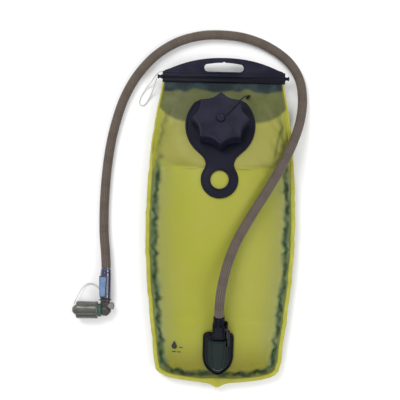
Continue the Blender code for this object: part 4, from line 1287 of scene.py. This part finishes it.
def make_outlet_button():
    place = outlet_frame()
    body = rounded_box((0.0101, 0.0150, 0.0052), (0.0145, 0.0372, 0.0118), 0.0020, 6)
    outline = [(0.0093, 0.0276), (0.0128, 0.0276), (0.0122, 0.0350), (0.0114, 0.0500), (0.0093, 0.0500)]
    grips = [slab([outline], 0.0088, 0.0136, 0.0009, 4)]
    for k in range(4):
        y = 0.0190 + 0.0022 * k
        grips.append(rounded_box((0.0136, y, 0.0074), (0.0150, y + 0.0011, 0.0108), 0.0004, 2))
    mesh = joined(body, *grips)
    piece("release_button", mesh, "outlet_release", "navy_plastic", ["outlet_button"], "outlet_button", place)
    low = Matrix.Translation((0.0067, 0.0185, 0.0077)) @ Matrix.Rotation(math.pi / 2, 4, "Y")
    coil = moved(tube(helix(0.0014, 0.0015, 2.1, 0.0), 0.0002, 8), place @ low)
    spring = piece("release_spring", coil, "root", "steel", ["outlet_button_spring"])
    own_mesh(spring)


def make_plug():
    place = outlet_frame()
    low = PLUG_LINE - 0.0048
    high = (PLUG_RADIUS, PLUG_TOP - 0.0090, low + 0.0129)
    body = rounded_box((-PLUG_RADIUS, PLUG_FOOT, low), high, 0.0038, 7)
    strip = rounded_box((0.0024, 0.0392, low + 0.0118), (0.0070, 0.0420, low + 0.0133), 0.0007, 3)
    # The wing and fin widen the plug's lower sides under the release button: dark plastic put in the gap
    # beside it, standing in for the shade there.
    shade_filling_wing = rounded_box((0.0040, 0.0300, low + 0.0006), (0.0088, 0.0490, low + 0.0038), 0.0010, 3)
    tail_profile = rounded_profile(
        [(0.0, 0.0), (0.0074, 0.0), (0.0074, 0.0040), (0.0069, 0.0046), (0.0072, 0.0052), (0.0072, 0.0080),
         (0.0068, 0.0086), (0.0070, 0.0092), (0.0070, 0.0120), (0.0066, 0.0130), (0.0, 0.0130)], 0.0003, 3
    )
    tail = turned_along(tail_profile, 48, (0, PLUG_TOP - 0.0130, PLUG_LINE + 0.001), (0, 1, 0))
    nozzle_profile = [
        (0.0024, 0.0), (0.0036, 0.0), (NOZZLE_RADIUS, 0.0008), (NOZZLE_RADIUS, 0.0078), (0.0034, 0.0080),
        (0.0034, 0.0104), (NOZZLE_RADIUS, 0.0106), (NOZZLE_RADIUS, 0.0220), (0.0024, 0.0220),
    ]
    nozzle = turned_along(nozzle_profile, 40, (0, 0.0048, PLUG_LINE), (0, 1, 0))
    shade_filling_fin = rounded_box((0.0040, 0.0388, low + 0.0006), (0.0106, 0.0490, low + 0.0036), 0.0009, 3)
    mesh = joined(body, strip, shade_filling_wing, shade_filling_fin, tail, nozzle)
    piece("quick_plug", mesh, "hose_end", "glossy_navy", ["hose_plug"], place=place)


# ---------------------------------------------------------------- hose, strings and valve

def make_hose():
    route = smooth_route(HOSE_ROUTE, 420)
    mesh = tube(route, HOSE_RADIUS, 32)
    hose = piece("woven_hose", mesh, None, "hose_sleeve", ["hose"], sharp=60)
    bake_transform(hose)
    return hose, [tuple(point) for point in smooth_route(HOSE_ROUTE, 80)]


def make_slider_tether():
    route = smooth_route(TETHER_ROUTE, 90)
    mesh = tube(route, STRING_RADIUS, 8)
    string = piece("slider_string", mesh, None, "grey_string", ["slider_tether"])
    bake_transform(string)


def make_cover_tether():
    route = smooth_route(COVER_TETHER_ROUTE, 80)
    mesh = tube(route, COVER_STRING_RADIUS, 8)
    string = piece("cover_string", mesh, None, "grey_string", ["cover_tether"])
    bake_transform(string)


def valve_axis(y):
    return (VALVE_X, y, VALVE_Z)


def make_socket():
    length = SOCKET_TOP_Y - SOCKET_END_Y
    profile = rounded_profile(
        [(BORE_RADIUS, 0.0), (SOCKET_RADIUS - 0.0004, 0.0), (SOCKET_RADIUS, 0.0006), (SOCKET_RADIUS, 0.0050),
         (SOCKET_RADIUS - 0.0005, 0.0054), (SOCKET_RADIUS, 0.0058), (SOCKET_RADIUS, length - 0.0060),
         (SOCKET_RADIUS - 0.0004, length - 0.0040), (SOCKET_RADIUS - 0.0004, length - 0.0010),
         (SOCKET_RADIUS - 0.0014, length), (0.0024, length), (0.0024, 0.0190), (BORE_RADIUS, 0.0190)],
        0.0003, 3,
    )
    low, high = length - 0.0004, length + 0.0012
    ferrule = turned([(0.0024, low), (0.0060, low), (0.0060, high), (0.0024, high)], 40)
    barrel = joined(turned(profile, 56), ferrule)
    moved(barrel, along_axis(valve_axis(SOCKET_END_Y), (0, 1, 0)))
    turn = Matrix.Translation(valve_axis(BUTTON_Y)) @ Matrix.Rotation(-BUTTON_TURN, 4, "Y")
    edges = [tapered(0.0056, 0.0046, 0.0140), tapered(0.0046, 0.0036, 0.0128)]
    bezel = moved(slab(edges, 0.0050, 0.0093, 0.0006, 3), turn)
    floor = moved(slab([tapered(0.0052, 0.0042, 0.0134)], 0.0030, 0.0058, 0.0004, 2), turn)
    mesh = joined(barrel, bezel, floor)
    piece("quick_socket", mesh, "root", "glossy_navy", ["valve_socket"], material="socket_navy")
    # The panel's light blue is a painted reflection on the glossy navy button.
    pad = slab([tapered(0.0043, 0.0033, 0.0125)], 0.0088, 0.0102, 0.0006, 4)
    piece("press_panel", pad, "valve_release", "blue_plastic", ["valve_button"], place=turn)
    coil = tube(helix(0.0016, 0.0008, 1.8, 0.0061), 0.00015, 8)
    spring = piece("panel_spring", coil, "root", "steel", ["valve_button_spring"], place=turn)
    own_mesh(spring)


def tapered(top, foot, half_y):
    """A round-cornered outline, of half width top at its upper end and foot at its lower end."""
    corner = 0.0012
    points = []
    corners = ((1, 1, top), (-1, 1, top), (-1, -1, foot), (1, -1, foot))
    for turn, (sx, sy, half) in zip((0, 90, 180, 270), corners):
        points += arc((sx * (half - corner), sy * (half_y - corner)), corner, turn, turn + 90, 5)
    return points


def make_elbow():
    centre, up, left = valve_axis(ELBOW_Y), (0, 1, 0), (-1, 0, 0)
    fall = SOCKET_END_Y - 0.0050 - ELBOW_Y
    outer = [(0.0034, fall), (0.0058, fall), (0.0064, fall - 0.0006)]
    for k in range(3):
        at = fall - 0.0018 - 0.0024 * k
        outer += [(0.0064, at), (0.0059, at - 0.0005), (0.0059, at - 0.0012), (0.0064, at - 0.0017)]
    outer += [(0.0064, 0.0), (0.0034, 0.0)]
    half_round = arc((0, 0), BALL_RADIUS, 82.5, -82.5, 22)
    ball = turned([(0, BALL_RADIUS), *half_round, (0, -BALL_RADIUS)], 48)
    arm = [(0.0, -0.0020), (0.0066, -0.0020), (0.0066, 0.0036), (0.0063, 0.0043), (0.0, 0.0043)]
    spout = [(0.0022, 0.0040), (0.0036, 0.0040), (0.0036, 0.0212), (0.0032, 0.0218), (0.0022, 0.0218)]
    shells = [
        turned_along(outer, 48, centre, up), moved(ball, Matrix.Translation(centre)),
        turned_along(arm, 48, centre, left), turned_along(spout, 32, centre, left),
    ]
    for k in range(5):
        away = 0.0026 * (k - 2)
        reach = math.sqrt(0.0073 ** 2 - away * away)
        low, high = reach - 0.0010, reach + 0.0002
        rib = [(low, away - 0.0006), (high, away - 0.0004), (high, away + 0.0004), (low, away + 0.0006)]
        shells.append(turned_along(rib, 40, centre, (-0.62, 0.60, 0.30)))
    piece("swivel_elbow", joined(*shells), "elbow_swivel", "grey_plastic", ["elbow"])
    hub = [
        (0.0, 0.0), (0.0046, 0.0), (0.0046, 0.0100), (0.0042, 0.0111), (0.0034, 0.0111), (0.0031, 0.0106),
        (0.0031, 0.0090), (0.0, 0.0090),
    ]
    hub_mesh = turned_along(hub, 40, (VALVE_X, HUB_Y, VALVE_Z), (1, 0, 0))
    piece("elbow_hub", hub_mesh, "elbow_swivel", "grey_plastic", material="pale_grey")
    pin = [(0.0, 0.0023), (0.0018, 0.0023), (0.0025, 0.0020), (0.0027, 0.0014), (0.0027, 0.0), (0.0, 0.0)]
    pin_mesh = turned_along(pin, 32, (HUB_PIN_X, HUB_Y, VALVE_Z), (1, 0, 0))
    piece("hub_button", pin_mesh, "elbow_swivel", "black_rubber", ["hub_pin"])


def make_mouthpiece():
    end = VALVE_X - COVER_END_X
    start = VALVE_X - COVER_MOUTH_X
    collar = rounded_profile(
        [(0.0040, 0.0092), (0.0078, 0.0092), (0.0084, 0.0086), (0.0084, 0.0053), (0.0078, 0.0047),
         (0.0040, 0.0047)], 0.0003, 3,
    )

    def knurl(angle, radius):
        return radius - (0.00035 * (0.5 + 0.5 * math.cos(20 * angle)) if radius > 0.0076 else 0.0)

    bite = [
        (0.0, 0.0340), (0.0026, 0.0340), (0.0046, 0.0338), (0.0058, 0.0330), (0.0064, 0.0312),
        (0.0064, 0.0262), (0.0058, 0.0238), (0.0053, 0.0220), (0.0056, 0.0200), (0.0068, 0.0168),
        (0.0078, 0.0148), (0.0085, 0.0128), (0.0086, 0.0098), (0.0083, 0.0095), (0.0040, 0.0095),
        (0.0040, 0.0240), (0.0030, 0.0290), (0.0, 0.0300),
    ]
    middle, inner = COVER_RADIUS - 0.0003, COVER_RADIUS - 0.0014
    cover = rounded_profile(
        [(0.0010, end), (COVER_RADIUS - 0.0010, end), (COVER_RADIUS, end - 0.0014), (middle, 0.0230),
         (middle, start + 0.0036), (COVER_RADIUS, start + 0.0030), (COVER_RADIUS, start + 0.0006),
         (COVER_RADIUS - 0.0005, start), (inner, start), (inner, end - 0.0018), (0.0010, end - 0.0014)],
        0.0006, 4,
    )
    knob = [(radius, end + rise) for radius, rise in (
        (0.0, 0.0054), (0.0014, 0.0054), (0.0028, 0.0050), (0.0040, 0.0042), (0.0052, 0.0030),
        (0.0062, 0.0016), (0.0066, 0.0008), (0.0066, FIT), (0.0, FIT),
    )]
    place = along_axis(valve_axis(ELBOW_Y), (-1, 0, 0))
    for name, profile, steps, shape, body, slot, node_name in (
        ("twist_collar", collar, 160, knurl, "mouthpiece", "teal_plastic", "valve_collar"),
        ("bite_nozzle", bite, 48, None, "mouthpiece", "pale_silicone", "bite_valve"),
        ("valve_cover", cover, 80, None, "cover", "olive_plastic", "dust_cover"),
        ("cover_knob", knob, 48, None, "cover", "olive_plastic", "cover_tip"),
    ):
        piece(name, turned(profile, steps, shape), body, slot, [node_name], place=place)


CARRIED = {
    "cap_gasket": "black_rubber", "plug_o_ring": "black_rubber", "valve_plug": "grey_plastic",
    "valve_o_ring": "black_rubber", "tether_ring": "grey_plastic",
}


def finish_carried_nodes():
    """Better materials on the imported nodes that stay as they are."""
    for name, slot in CARRIED.items():
        dress(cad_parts[name].data, slot)


MATERIALS = make_materials()
make_camera()
make_floor()
make_light()
hose, hose_path = make_hose()
make_film()
make_volume_mark()
make_slider()
make_rod()
make_slider_tether()
make_neck()
make_plate()
make_cap()
make_leash()
make_outlet()
make_outlet_button()
make_plug()
make_socket()
make_elbow()
make_mouthpiece()
make_cover_tether()
finish_carried_nodes()
